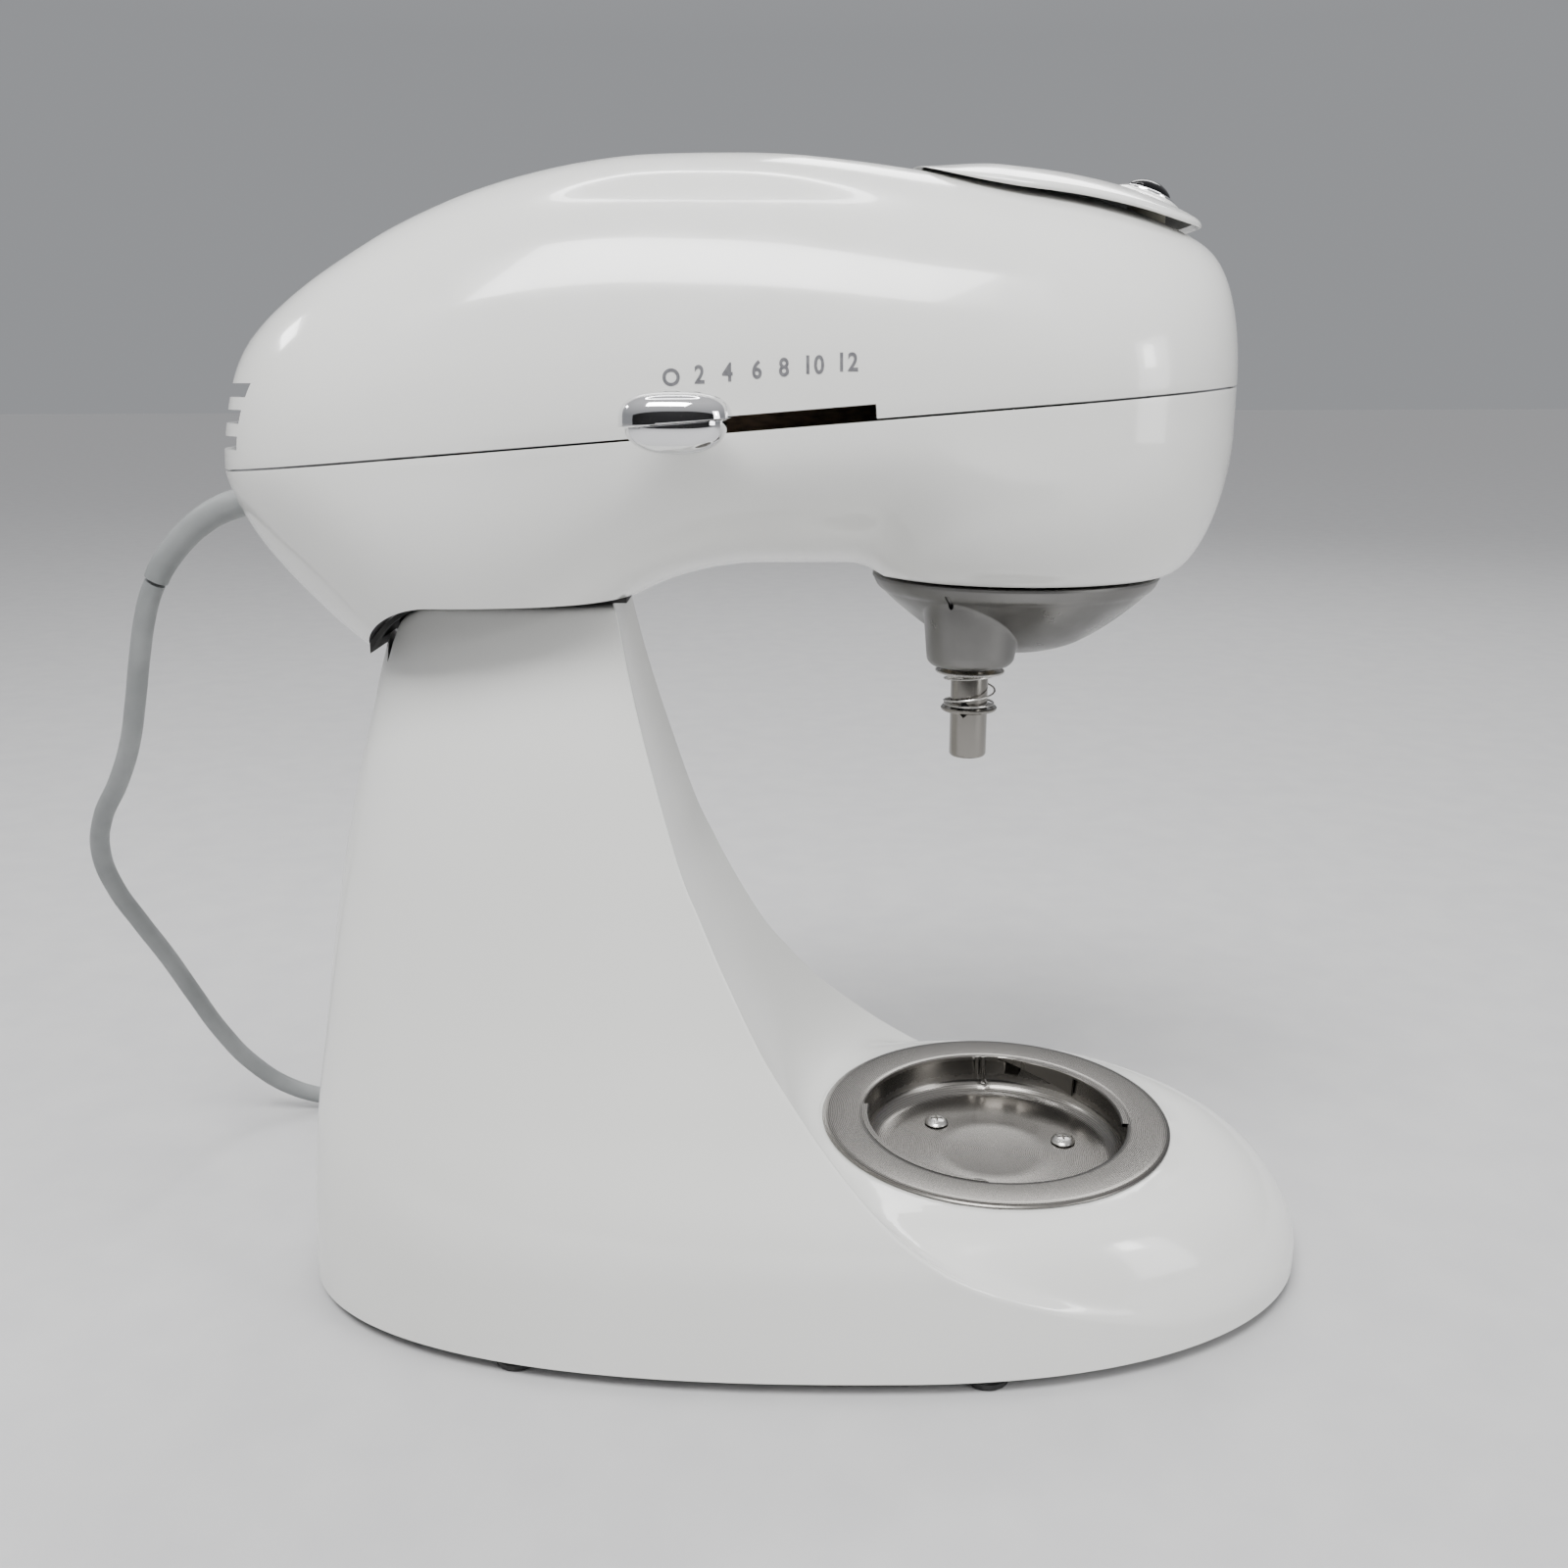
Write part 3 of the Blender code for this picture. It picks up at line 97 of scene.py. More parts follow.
def coil_point(turn):
    """A place on the coil after so many turns: outer lane, inner lane, then both again on top."""
    outer, inner = LANES
    low, high = LAYERS
    inward = min(max((turn - 0.8) / 0.2, 0), 1) - min(max((turn - 2.8) / 0.2, 0), 1)
    lift = min(max((turn - 1.8) / 0.2, 0), 1)
    radius = outer + (inner - outer) * inward
    angle = 2 * math.pi * turn - math.pi / 2
    return (COIL.x + radius * math.cos(angle), COIL.y + radius * math.sin(angle), low + (high - low) * lift)


coil = [coil_point(i / 16) for i in range(16 * 4 + 1)]
route = [*HANGING, *coil, *LEAVING]
print(len(route), "points on the cord")


# %% Cord curve
def added(name, operator, **settings):
    """Adds a primitive with nothing else selected, and names it."""
    bpy.ops.object.select_all(action="DESELECT")
    operator(**settings)
    piece = bpy.context.object
    piece.name = name
    return piece


def smooth_tube(name, places, radius, steps, roundness, taper=0.0):
    """A round tube on a Bezier curve through the places; taper thins it towards its end."""
    made = added(name, bpy.ops.curve.primitive_bezier_curve_add)
    made.data.splines.clear()
    line = made.data.splines.new("BEZIER")
    line.bezier_points.add(len(places) - 1)
    for i, (point, place) in enumerate(zip(line.bezier_points, places)):
        point.co = Vector(place) * MM
        point.radius = 1 - taper * i / (len(places) - 1)
        point.handle_left_type = point.handle_right_type = "AUTO"
    line.resolution_u = steps
    made.data.bevel_depth, made.data.bevel_resolution, made.data.use_fill_caps = radius * MM, roundness, True
    return made


cord = smooth_tube("mains_cord", route, CORD_R, CORD_STEPS, 5)
line = cord.data.splines[0]
for a, b in zip(line.bezier_points, line.bezier_points[1:]):
    for i in range(CORD_STEPS):
        t = i / CORD_STEPS
        u = 1 - t
        place = u**3 * a.co + 3 * t * u**2 * a.handle_right
bpy.ops.object.select_all(action="DESELECT")
cord.select_set(True)
bpy.context.view_layer.objects.active = cord
bpy.ops.object.convert(target="MESH")
bpy.ops.object.shade_smooth_by_angle(angle=math.radians(50))
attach(cord, "stand")
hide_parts("power_cord", "cord_coil")

# %% [markdown]
# ## Finishes
# Every finish is a Principled shader. What is the same all over, such as a base roughness, is set
# on its sockets. What varies, such as the faint ripple of sprayed enamel or the rings of spun
# steel, comes from textures on Object coordinates, so that the pattern stays on the piece.


# %% Finish helpers
def finish(name, colour, roughness, metallic=0.0, **sockets):
    """A material with one Principled shader; other sockets are given by name."""
    made = bpy.data.materials.new(name)
    made.use_nodes = True
    shader = made.node_tree.nodes["Principled BSDF"]
    shader.inputs["Base Color"].default_value = (*colour, 1)
    shader.inputs["Roughness"].default_value = roughness
    shader.inputs["Metallic"].default_value = metallic
    for socket, value in sockets.items():
        shader.inputs[socket.replace("_", " ").title().replace("Ior", "IOR")].default_value = value
    return made


def node(made, kind, links=(), **values):
    """A new node: its inputs set by name, then linked from (socket, node, output)."""
    new = made.node_tree.nodes.new(kind)
    for key, value in values.items():
        if hasattr(new, key):
            setattr(new, key, value)
        else:
            new.inputs[key.replace("_", " ").title()].default_value = value
    for socket, source, output in links:
        made.node_tree.links.new(source.outputs[output], new.inputs[socket])
    return new


def into_shader(made, socket, source, output):
    shader = made.node_tree.nodes["Principled BSDF"]
    made.node_tree.links.new(source.outputs[output], shader.inputs[socket])


def grain(made, scale, detail=2.0, stretch=(1, 1, 1), centre=(0, 0, 0)):
    """A noise texture on Object coordinates; scale is in cells per metre."""
    place = node(made, "ShaderNodeTexCoord")
    mapping = node(made, "ShaderNodeMapping", [("Vector", place, "Object")])
    mapping.inputs["Location"].default_value = tuple(-c * s for c, s in zip(centre, stretch))
    mapping.inputs["Scale"].default_value = stretch
    return node(made, "ShaderNodeTexNoise", [("Vector", mapping, "Vector")], Scale=scale, Detail=detail)


def ripple(made, texture, output, strength, distance, under=None):
    """A bump from a texture, laid over another bump if there is one."""
    links = [("Height", texture, output)] + ([("Normal", under, "Normal")] if under else [])
    bump = node(made, "ShaderNodeBump", links, Strength=strength, Distance=distance * MM)
    into_shader(made, "Normal", bump, "Normal")
    return bump


def between(made, texture, output, socket, low, high, start=0.35, end=0.65):
    """Maps a texture on to a socket, between two colours or two numbers."""
    ramp = node(made, "ShaderNodeValToRGB", [("Fac", texture, output)])
    ramp.color_ramp.elements[0].position, ramp.color_ramp.elements[1].position = start, end
    as_colour = [v if isinstance(v, tuple) else (v, v, v) for v in (low, high)]
    for element, colour in zip(ramp.color_ramp.elements, as_colour):
        element.color = (*colour, 1)
    into_shader(made, socket, ramp, "Color")


print("finish helpers are ready")

# %% [markdown]
# ## Enamel, plastics and rubber
# The body is die-cast metal under a thick warm white enamel. Sprayed enamel is never quite flat:
# a fine ripple bends its reflections, and a broad, faint change of tone keeps it from looking like
# plastic. The black plastics have a fine grain, and the rubber feet and the cord are duller.

# %% Painted and moulded finishes
enamel = finish("white_enamel", (0.80, 0.80, 0.775), 0.16, coat_weight=0.5, coat_roughness=0.04)
between(enamel, grain(enamel, 7, 3), "Fac", "Base Color", (0.775, 0.775, 0.745), (0.815, 0.815, 0.79))
between(enamel, grain(enamel, 60, 4), "Fac", "Roughness", 0.13, 0.22)
ripple(enamel, grain(enamel, 420, 2), "Fac", 0.06, 0.25)

black = finish("black_plastic", (0.018, 0.018, 0.02), 0.42)
between(black, grain(black, 90, 3), "Fac", "Roughness", 0.36, 0.52)
ripple(black, grain(black, 2600, 2), "Fac", 0.12, 0.1)

rubber = finish("black_rubber", (0.022, 0.022, 0.022), 0.75)
between(rubber, grain(rubber, 120, 3), "Fac", "Base Color", (0.016, 0.016, 0.016), (0.045, 0.044, 0.042))
ripple(rubber, grain(rubber, 1800, 3), "Fac", 0.2, 0.15)

cord_grey = finish("grey_cord_jacket", (0.235, 0.245, 0.245), 0.5)
between(cord_grey, grain(cord_grey, 45, 4), "Fac", "Base Color", (0.205, 0.215, 0.215), (0.27, 0.28, 0.28))
between(cord_grey, grain(cord_grey, 200, 3), "Fac", "Roughness", 0.42, 0.6)
ripple(cord_grey, grain(cord_grey, 1500, 2), "Fac", 0.1, 0.1)

gloss_black = finish("badge_black", (0.004, 0.004, 0.005), 0.12, specular_ior_level=0.12)
between(gloss_black, grain(gloss_black, 300, 3), "Fac", "Roughness", 0.08, 0.14)

print_grey = finish("printed_grey", (0.13, 0.13, 0.14), 0.55)
between(print_grey, grain(print_grey, 900, 3), "Fac", "Base Color", (0.105, 0.105, 0.115), (0.16, 0.16, 0.17))

slot_brown = finish("slot_fibre", (0.2, 0.13, 0.08), 0.6)
fibres = grain(slot_brown, 260, 4, (1, 1, 4))
between(slot_brown, fibres, "Fac", "Base Color", (0.15, 0.095, 0.06), (0.28, 0.185, 0.115))
ripple(slot_brown, grain(slot_brown, 1400, 2), "Fac", 0.2, 0.1)
print("painted and moulded finishes made")

# %% [markdown]
# ## Metals
# The cap under the head is bead-blasted die casting, rubbed brighter by hands. The dish is spun, so
# fine rings run round its axis, and the shaft is turned, so its rings are finer. The knob and the
# badge's rim are chrome with a few smudges.


# %% Metal finishes
def spun(name, colour, roughness, centre, rings_per_metre, depth):
    """Bright steel with turned rings round an upright axis."""
    made = finish(name, colour, roughness, 1.0)
    place = node(made, "ShaderNodeTexCoord")
    mapping = node(made, "ShaderNodeMapping", [("Vector", place, "Object")])
    mapping.inputs["Location"].default_value = (-centre[0] * MM, -centre[1] * MM, 0)
    rings = node(
        made, "ShaderNodeTexWave", [("Vector", mapping, "Vector")], wave_type="RINGS", rings_direction="Z",
        Scale=rings_per_metre, Distortion=0.5, Detail=2.0,
    )  # fmt: skip
    between(made, rings, "Fac", "Roughness", roughness * 0.8, roughness * 1.25, 0.2, 0.8)
    under = ripple(made, rings, "Fac", 0.1, depth)
    ripple(made, grain(made, 130, 4), "Fac", 0.03, 0.2, under)
    return made


AXIS_X = 67.0
ORBIT_R, ORBIT_ANGLE = 26.0, math.radians(-127)
BEATER = (AXIS_X + ORBIT_R * math.cos(ORBIT_ANGLE), ORBIT_R * math.sin(ORBIT_ANGLE))

dish_steel = spun("spun_steel", (0.205, 0.196, 0.183), 0.27, (AXIS_X, 0), 520, 0.05)
shaft_steel = spun("turned_steel", (0.27, 0.258, 0.238), 0.18, BEATER, 1100, 0.02)
plain_steel = finish("plain_steel", (0.5, 0.49, 0.47), 0.3, 1.0)
between(plain_steel, grain(plain_steel, 500, 3), "Fac", "Roughness", 0.24, 0.38)

casting = finish("blasted_casting", (0.17, 0.168, 0.163), 0.36, 1.0)
between(casting, grain(casting, 28, 4), "Fac", "Base Color", (0.14, 0.138, 0.133), (0.205, 0.202, 0.195))
between(casting, grain(casting, 70, 4), "Fac", "Roughness", 0.27, 0.44)
ripple(casting, grain(casting, 1600, 3), "Fac", 0.12, 0.12)

chrome = finish("chrome_plate", (0.78, 0.78, 0.79), 0.05, 1.0)
between(chrome, grain(chrome, 120, 4), "Fac", "Roughness", 0.03, 0.1, 0.45, 0.75)
ripple(chrome, grain(chrome, 70, 2), "Fac", 0.015, 0.4)

copper = finish("wound_copper", (0.62, 0.26, 0.12), 0.32, 1.0)
turns_of_wire = node(copper, "ShaderNodeTexWave", Scale=420.0, bands_direction="DIAGONAL")
copper.node_tree.links.new(node(copper, "ShaderNodeTexCoord").outputs["Object"], turns_of_wire.inputs["Vector"])
ripple(copper, turns_of_wire, "Fac", 0.6, 0.5)
between(copper, turns_of_wire, "Fac", "Base Color", (0.36, 0.13, 0.06), (0.68, 0.3, 0.14), 0.1, 0.6)

stack = finish("laminated_steel", (0.24, 0.24, 0.25), 0.45, 1.0)
sheets = node(stack, "ShaderNodeTexWave", Scale=320.0, bands_direction="X")
stack.node_tree.links.new(node(stack, "ShaderNodeTexCoord").outputs["Object"], sheets.inputs["Vector"])
ripple(stack, sheets, "Fac", 0.35, 0.3)
between(stack, grain(stack, 150, 3), "Fac", "Roughness", 0.36, 0.55)

brass = finish("brass", (0.62, 0.44, 0.16), 0.3, 1.0)
between(brass, grain(brass, 260, 3), "Fac", "Roughness", 0.22, 0.4)
nylon = finish("nylon_gear", (0.78, 0.76, 0.68), 0.42, subsurface_weight=0.1)
ripple(nylon, grain(nylon, 900, 2), "Fac", 0.1, 0.1)
board = finish("circuit_board", (0.03, 0.18, 0.07), 0.35)
tracks = grain(board, 700, 1, (1, 0.1, 3))
between(board, tracks, "Fac", "Base Color", (0.02, 0.14, 0.05), (0.10, 0.28, 0.12), 0.49, 0.51)
carbon = finish("carbon_brush", (0.03, 0.03, 0.032), 0.55)
ripple(carbon, grain(carbon, 1500, 3), "Fac", 0.2, 0.1)
cord.data.materials.append(cord_grey)
print(len(bpy.data.materials), "materials, the frame's own included")

# %% [markdown]
# ## Tools for modelling
# Every piece below starts as a primitive at its place, is shaped in edit mode and is finished with
# applied modifiers. An operator acts on whatever is selected, so each helper first selects only the
# piece it works on.


# %% Modelling helpers
def select_only(piece):
    bpy.ops.object.select_all(action="DESELECT")
    piece.select_set(True)
    bpy.context.view_layer.objects.active = piece


def tidy_mesh(piece, distance=0.004):
    """Merges doubled points, drops loose ones and turns every face outwards."""
    select_only(piece)
    bpy.ops.object.mode_set(mode="EDIT")
    bpy.ops.mesh.select_mode(type="VERT")
    bpy.ops.mesh.select_all(action="SELECT")
    bpy.ops.mesh.remove_doubles(threshold=distance * MM)
    bpy.ops.mesh.delete_loose()
    bpy.ops.mesh.select_all(action="SELECT")
    bpy.ops.mesh.normals_make_consistent(inside=False)
    bpy.ops.object.mode_set(mode="OBJECT")
    return piece


def apply(piece, kind, **settings):
    """Adds one modifier with its settings and applies it."""
    select_only(piece)
    made = piece.modifiers.new(kind.lower(), kind)
    for key, value in settings.items():
        setattr(made, key, value)
    bpy.ops.object.modifier_apply(modifier=made.name)
    return piece


def round_edges(piece, width, segments=2, angle=40):
    return apply(piece, "BEVEL", width=width * MM, segments=segments, limit_method="ANGLE",
                 angle_limit=math.radians(angle), use_clamp_overlap=True, harden_normals=False)  # fmt: skip


def cut(piece, *tools, operation="DIFFERENCE"):
    """Takes the tools away from a piece, or joins them to it, and removes them."""
    for tool in tools:
        apply(piece, "BOOLEAN", operation=operation, solver="EXACT", object=tool)
        bpy.data.objects.remove(tool)
    return piece


def done(piece, body, material, *nodes, angle=35, slot=None):
    """Smooths, paints and mounts a finished piece on its body."""
    select_only(piece)
    bpy.ops.object.transform_apply(location=True, rotation=True, scale=True)
    bpy.ops.object.shade_smooth_by_angle(angle=math.radians(angle))
    piece.data.materials.clear()
    piece.data.materials.append(material)
    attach(piece, body)
    if nodes:
        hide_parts(*nodes)
    return piece


def sheet(name, rows):
    """A grid primitive whose points are laid on rows of places."""
    across, along = len(rows[0]) - 1, len(rows) - 1
    piece = added(name, bpy.ops.mesh.primitive_grid_add, x_subdivisions=across, y_subdivisions=along, size=1)
    places = [Vector(p) * MM for row in rows for p in row]
    for point, place in zip(piece.data.vertices, places, strict=True):
        point.co = place
    return piece


def lofted(name, rings):
    """A closed solid through closed rings; its end rings shrink to a line or a point."""
    return tidy_mesh(sheet(name, [[*ring, ring[0]] for ring in rings]))


def lathe(name, profile, axis=(0, 0), steps=96):
    """A circle primitive shaped into a profile of (radius, height), then spun round an upright axis."""
    piece = added(name, bpy.ops.mesh.primitive_circle_add, vertices=len(profile), radius=0.01)
    for point, (r, z) in zip(piece.data.vertices, profile):
        point.co = Vector((axis[0] + r, axis[1], z)) * MM
    bpy.ops.object.mode_set(mode="EDIT")
    bpy.ops.mesh.select_all(action="SELECT")
    bpy.ops.mesh.spin(steps=steps, angle=2 * math.pi, center=(axis[0] * MM, axis[1] * MM, 0), axis=(0, 0, 1))
    bpy.ops.object.mode_set(mode="OBJECT")
    return tidy_mesh(piece)


def lean_about(piece, angle, centre):
    """Turns a piece's points about Y at a place."""
    at = Vector(centre) * MM
    piece.data.transform(Matrix.Translation(at) @ Matrix.Rotation(angle, 4, "Y") @ Matrix.Translation(-at))
    return piece


def block(name, low, high, lean=None):
    """A box between two corners; lean turns it about Y at a place."""
    middle = [(a + b) / 2 * MM for a, b in zip(low, high)]
    piece = added(name, bpy.ops.mesh.primitive_cube_add, size=1, location=middle)
    piece.scale = [abs(b - a) * MM for a, b in zip(low, high)]
    bpy.ops.object.transform_apply(location=True, rotation=True, scale=True)
    return lean_about(piece, *lean) if lean else piece


def bar(name, start, end, radius, sides=48):
    """A round bar from one place to another."""
    a, b = Vector(start) * MM, Vector(end) * MM
    piece = added(name, bpy.ops.mesh.primitive_cylinder_add, vertices=sides, radius=radius * MM, depth=(b - a).length,
                  location=(a + b) / 2, rotation=(b - a).to_track_quat("Z", "Y").to_euler())  # fmt: skip
    bpy.ops.object.transform_apply(location=True, rotation=True, scale=True)
    return piece


def triangles(piece):
    return sum(len(face.vertices) - 2 for face in piece.data.polygons)


print("modelling helpers are ready")

# %% [markdown]
# ## The form of the body
# A mixer's body is three swept castings. Each is described by a few lines drawn in side view and in
# plan: the top line of the head, its keel, the rear edge of the column, the hollow in front of it.
# A smooth curve runs through each line's points, and cross-sections are worked out between them.


# %% Curves and sections
def spline(points):
    """A smooth curve through the points that never overshoots between them."""
    x, y = zip(*points)
    slope = [(y[i + 1] - y[i]) / (x[i + 1] - x[i]) for i in range(len(x) - 1)]
    tangent = [slope[0], *((a + b) / 2 if a * b > 0 else 0 for a, b in zip(slope, slope[1:])), slope[-1]]
    for i, s in enumerate(slope):
        for j in (i, i + 1):
            tangent[j] = math.copysign(min(abs(tangent[j]), 3 * abs(s)), tangent[j]) if s else 0

    def at(value):
        value = min(max(value, x[0]), x[-1])
        i = next(k for k in range(len(slope)) if value <= x[k + 1])
        h = x[i + 1] - x[i]
        t = (value - x[i]) / h
        return (
            y[i] * (1 + 2 * t) * (1 - t) ** 2
            + tangent[i] * h * t * (1 - t) ** 2
            + y[i + 1] * t * t * (3 - 2 * t)
            + tangent[i + 1] * h * t * t * (t - 1)
        )

    return at


def rounded(u, power):
    """Height of a superellipse of half size 1 at distance u from its middle."""
    return (1 - min(abs(u), 1.0) ** power) ** (1 / power)


def smooth_step(share):
    share = min(max(share, 0), 1)
    return share * share * (3 - 2 * share)


def eased(low, high, count):
    """Places along a length, closer together at both ends."""
    return [low + (high - low) * (1 - math.cos(math.pi * i / count)) / 2 for i in range(count + 1)]


GAP, WALL = 0.3, 3.0
FRONT_X, REAR_X, HEAD_FRONT_X = 170.0, -170.0, 128.2
HEAD_HALF_WIDTH, HEAD_TAPER, REAR_ROUND_X = 64.0, 0.064, -118.0
PARTING_Z, PARTING_SLOPE = 281.35, 0.0779
GEAR_FACE_Z, NOSE_SHOULDER_Z, NOSE_FACE_R, NOSE_BLEND = 236.5, 277.0, 45.0, 10.0
NOSE_R = HEAD_FRONT_X - AXIS_X
PIVOT = (-106.0, 201.5)
SADDLE_R = 26.7

head_top = spline([
    (-170, 268.1), (-169.4, 272), (-167.2, 282), (-164.5, 293), (-162.2, 301.5), (-160, 305.5),
    (-155.5, 310.5), (-148.5, 316.5), (-139, 323.3), (-126, 331.2), (-115, 337.2), (-99, 344.0),
    (-88, 347.7), (-73.6, 351.4), (-60, 353.9), (-44, 355.6), (-20, 356.0), (-4, 355.6), (13, 354.0),
    (35, 351.0), (56, 348.3), (77, 344.8), (92, 341.0), (105, 336.4), (114, 332.3), (118.5, 329.2),
    (120.7, 326.6), (123, 322.2), (125, 315.4), (127, 304.6), (127.9, 297.3), (128.2, 291.3),
])  # fmt: skip
head_keel = spline([
    (-170, 268.0), (-168.3, 264), (-165.9, 253.5), (-162, 244.4), (-156, 235.7), (-148.4, 226.9),
    (-139.8, 218.3), (-131, 211.5), (-118, 206.5), (-100, 206), (-80, 210.5), (-65, 218.5),
    (-52.4, 227.7), (-41.8, 233.3), (-29.9, 237.0), (-12, 239.2), (10, 239.2), (67, 239.2),
])  # fmt: skip
print("the head is highest at", max(head_top(x) for x in range(-170, 129)), "mm")


# %% Head sections
def parting(x):
    return PARTING_Z + PARTING_SLOPE * x


def head_half_width(x, inset=0.0):
    if inset:
        return min(head_half_width(x - inset), head_half_width(x + inset)) - inset * 0.9
    if x > AXIS_X:
        return HEAD_HALF_WIDTH * rounded((x - AXIS_X) / NOSE_R, 2.15)
    straight = HEAD_HALF_WIDTH - HEAD_TAPER * (AXIS_X - x)
    return straight * (rounded((x - REAR_ROUND_X) / (REAR_X - REAR_ROUND_X), 2.4) if x < REAR_ROUND_X else 1)


def upper_ring(x, inset, steps):
    """Cross-section of the upper housing, an oval arch standing on the parting plane."""
    wide = max(head_half_width(x, inset), 0.4 if inset else 0.0)
    base = parting(x) + GAP
    tall = max(head_top(x) - inset - base, 0.8 if inset else 0.0)
    arch = []
    for i in range(steps + 1):
        a = math.pi * i / steps
        side = math.copysign(abs(math.cos(a)) ** 0.95, -math.cos(a))
        arch.append((x, wide * side, base + tall * math.sin(a) ** 0.95))
    if inset:
        arch[0], arch[-1] = (x, -wide, base - 8), (x, wide, base - 8)
    return arch


def nose_radius(z):
    """The nose is turned about the planetary axis, and draws in towards the gear face."""
    share = rounded(max(NOSE_SHOULDER_Z - z, 0) / (NOSE_SHOULDER_Z - GEAR_FACE_Z + 0.01), 1.8)
    return NOSE_FACE_R + (NOSE_R - NOSE_FACE_R) * share


def lower_width(x, z, inset):
    """Half width below the parting plane: the tapering hull, or the turned nose, softly joined."""
    limit = head_half_width(x, inset)
    radius = nose_radius(z)
    share = (radius - NOSE_FACE_R) / (NOSE_R - NOSE_FACE_R)
    stretch = 1 + (HEAD_HALF_WIDTH / NOSE_R - 1) * share
    radius -= inset
    away = abs(x - AXIS_X)
    nose = min(radius * stretch * rounded(away / radius, 2 + 0.15 * share), limit) if away < radius else 0.0
    if x > AXIS_X:
        return max(nose, 0)
    keel = head_keel(x) + inset
    fullness = 2.0 - 0.5 * smooth_step((-100 - x) / 50)
    hull = limit * rounded((parting(x) - z) / max(parting(x) - keel, 0.5), fullness)
    close = max(NOSE_BLEND - abs(hull - nose), 0) / NOSE_BLEND if nose > 0 else 0
    return max(min(max(hull, nose) + close * close * NOSE_BLEND / 4, limit), 0)


def lower_bottom(x, inset):
    """Height of the lower housing's underside on the middle plane."""
    away = abs(x - AXIS_X)
    if away < NOSE_FACE_R - inset:
        return GEAR_FACE_Z + inset
    if x < AXIS_X:
        return head_keel(x) + inset
    low, high = GEAR_FACE_Z, NOSE_SHOULDER_Z + 20
    for _ in range(30):
        mid = (low + high) / 2
        low, high = (mid, high) if nose_radius(mid) - inset < away else (low, mid)
    return low


def lower_ring(x, inset, steps):
    """Cross-section of the lower housing, from the near rim under the keel to the far rim."""
    base = parting(x)
    bottom = min(lower_bottom(x, inset), base - 0.8)
    half = [(x, max(head_half_width(x, inset), 0.4 if inset else 0), base + (8 if inset else -GAP))]
    for i in range(1, steps + 1):
        z = base - (base - bottom) * math.sin(math.pi / 2 * i / steps)
        half.append((x, lower_width(x, min(z, base - GAP), inset), min(z, base - GAP)))
    half.append((x, 0.0, bottom))
    return [(x, -y, z) for _, y, z in half] + [(x, y, z) for _, y, z in reversed(half[:-1])]


def head_stations(inset, count):
    return eased(REAR_X + inset, HEAD_FRONT_X - inset, count)


print("half width over the planetary axis:", head_half_width(AXIS_X), "mm")

# %% [markdown]
# ## The head housings
# The head is two castings that meet on a sloping line. Each is lofted as a closed solid, its rim is
# rounded so that the line catches light, and the same form drawn 3 mm smaller is taken out of it.
# Slots and bores are then cut with plain tools, as a toolmaker's inserts would leave them.

# %% Upper housing
upper = lofted("upper_shell", [upper_ring(x, 0, 64) for x in head_stations(0, 110)])
round_edges(upper, 0.7, 3, 50)
cut(upper, lofted("upper_core", [upper_ring(x, WALL, 20) for x in head_stations(WALL, 30)]))
LEVER_X, LEVER_TRAVEL = -32.3, 46.2
LEAN = math.atan(PARTING_SLOPE)
slot_low, slot_high = LEVER_X - 8, LEVER_X + LEVER_TRAVEL + 6
slot_middle = (slot_low + slot_high) / 2
slot_z = parting(slot_middle)
slot_lean = (-LEAN, (slot_middle, 0, slot_z))
cut(upper, block("lever_slot", (slot_low, -75, slot_z - 6), (slot_high, -45, slot_z + 4), slot_lean))
AIR_SLOTS, AIR_HALF_WIDTH, AIR_HALF_HEIGHT = (276.4, 283.6, 290.8), 36, 1.9
for z in AIR_SLOTS:
    bottom, top = z - AIR_HALF_HEIGHT, z + AIR_HALF_HEIGHT
    cut(upper, block("air_slot", (-185, -AIR_HALF_WIDTH, bottom), (-150, AIR_HALF_WIDTH, top)))
for x in (62, 76, 90):
    cut(upper, block("outlet", (x - 4.5, -20, 325), (x + 4.5, 20, 360)))
done(upper, "head", enamel, "upper_housing", slot="white_paint")
print("upper housing:", triangles(upper), "triangles")

# %% Lower housing
lower = lofted("lower_shell", [lower_ring(x, 0, 40) for x in head_stations(0, 110)])
round_edges(lower, 0.7, 3, 50)
SADDLE_GAP = 2.2
hollow = lofted("lower_core", [lower_ring(x, WALL, 14) for x in head_stations(WALL, 36)])
for solid, clearance in ((hollow, SADDLE_GAP + WALL), (lower, SADDLE_GAP)):
    reach = SADDLE_R + clearance
    px, pz = PIVOT
    cut(solid, bar("saddle", (px, -90, pz), (px, 90, pz), reach, 96),
        block("saddle_flat", (px, -90, pz - 40), (-47, 90, pz + reach)))  # fmt: skip
cut(lower, hollow)
cut(lower, block("heel_trim", (-150, -60, 190), (-120, 60, 214.2), (math.radians(-14), (-134, 0, 214.2))))
cut(lower, bar("gear_chamber", (AXIS_X, 0, 239.6), (AXIS_X, 0, 264), 45.2, 96),
    bar("gear_mouth", (AXIS_X, 0, 225), (AXIS_X, 0, 262), 41, 96))  # fmt: skip
cut(lower, block("lug_slot", (-114.5, -9.8, 224), (-97.5, 9.8, 240)),
    block("striker_slot", (-88, -3.3, 224), (-72, 3.3, 240)))  # fmt: skip
cut(lower, bar("gland_hole", (-150, 0, 259), (-190, 0, 258), 5.2))
done(lower, "head", enamel, "lower_housing", slot="white_paint")
# Faces of the saddle at the gap's distance from the pivot take the black finish, which darkens the joint.
lower.data.materials.append(black)
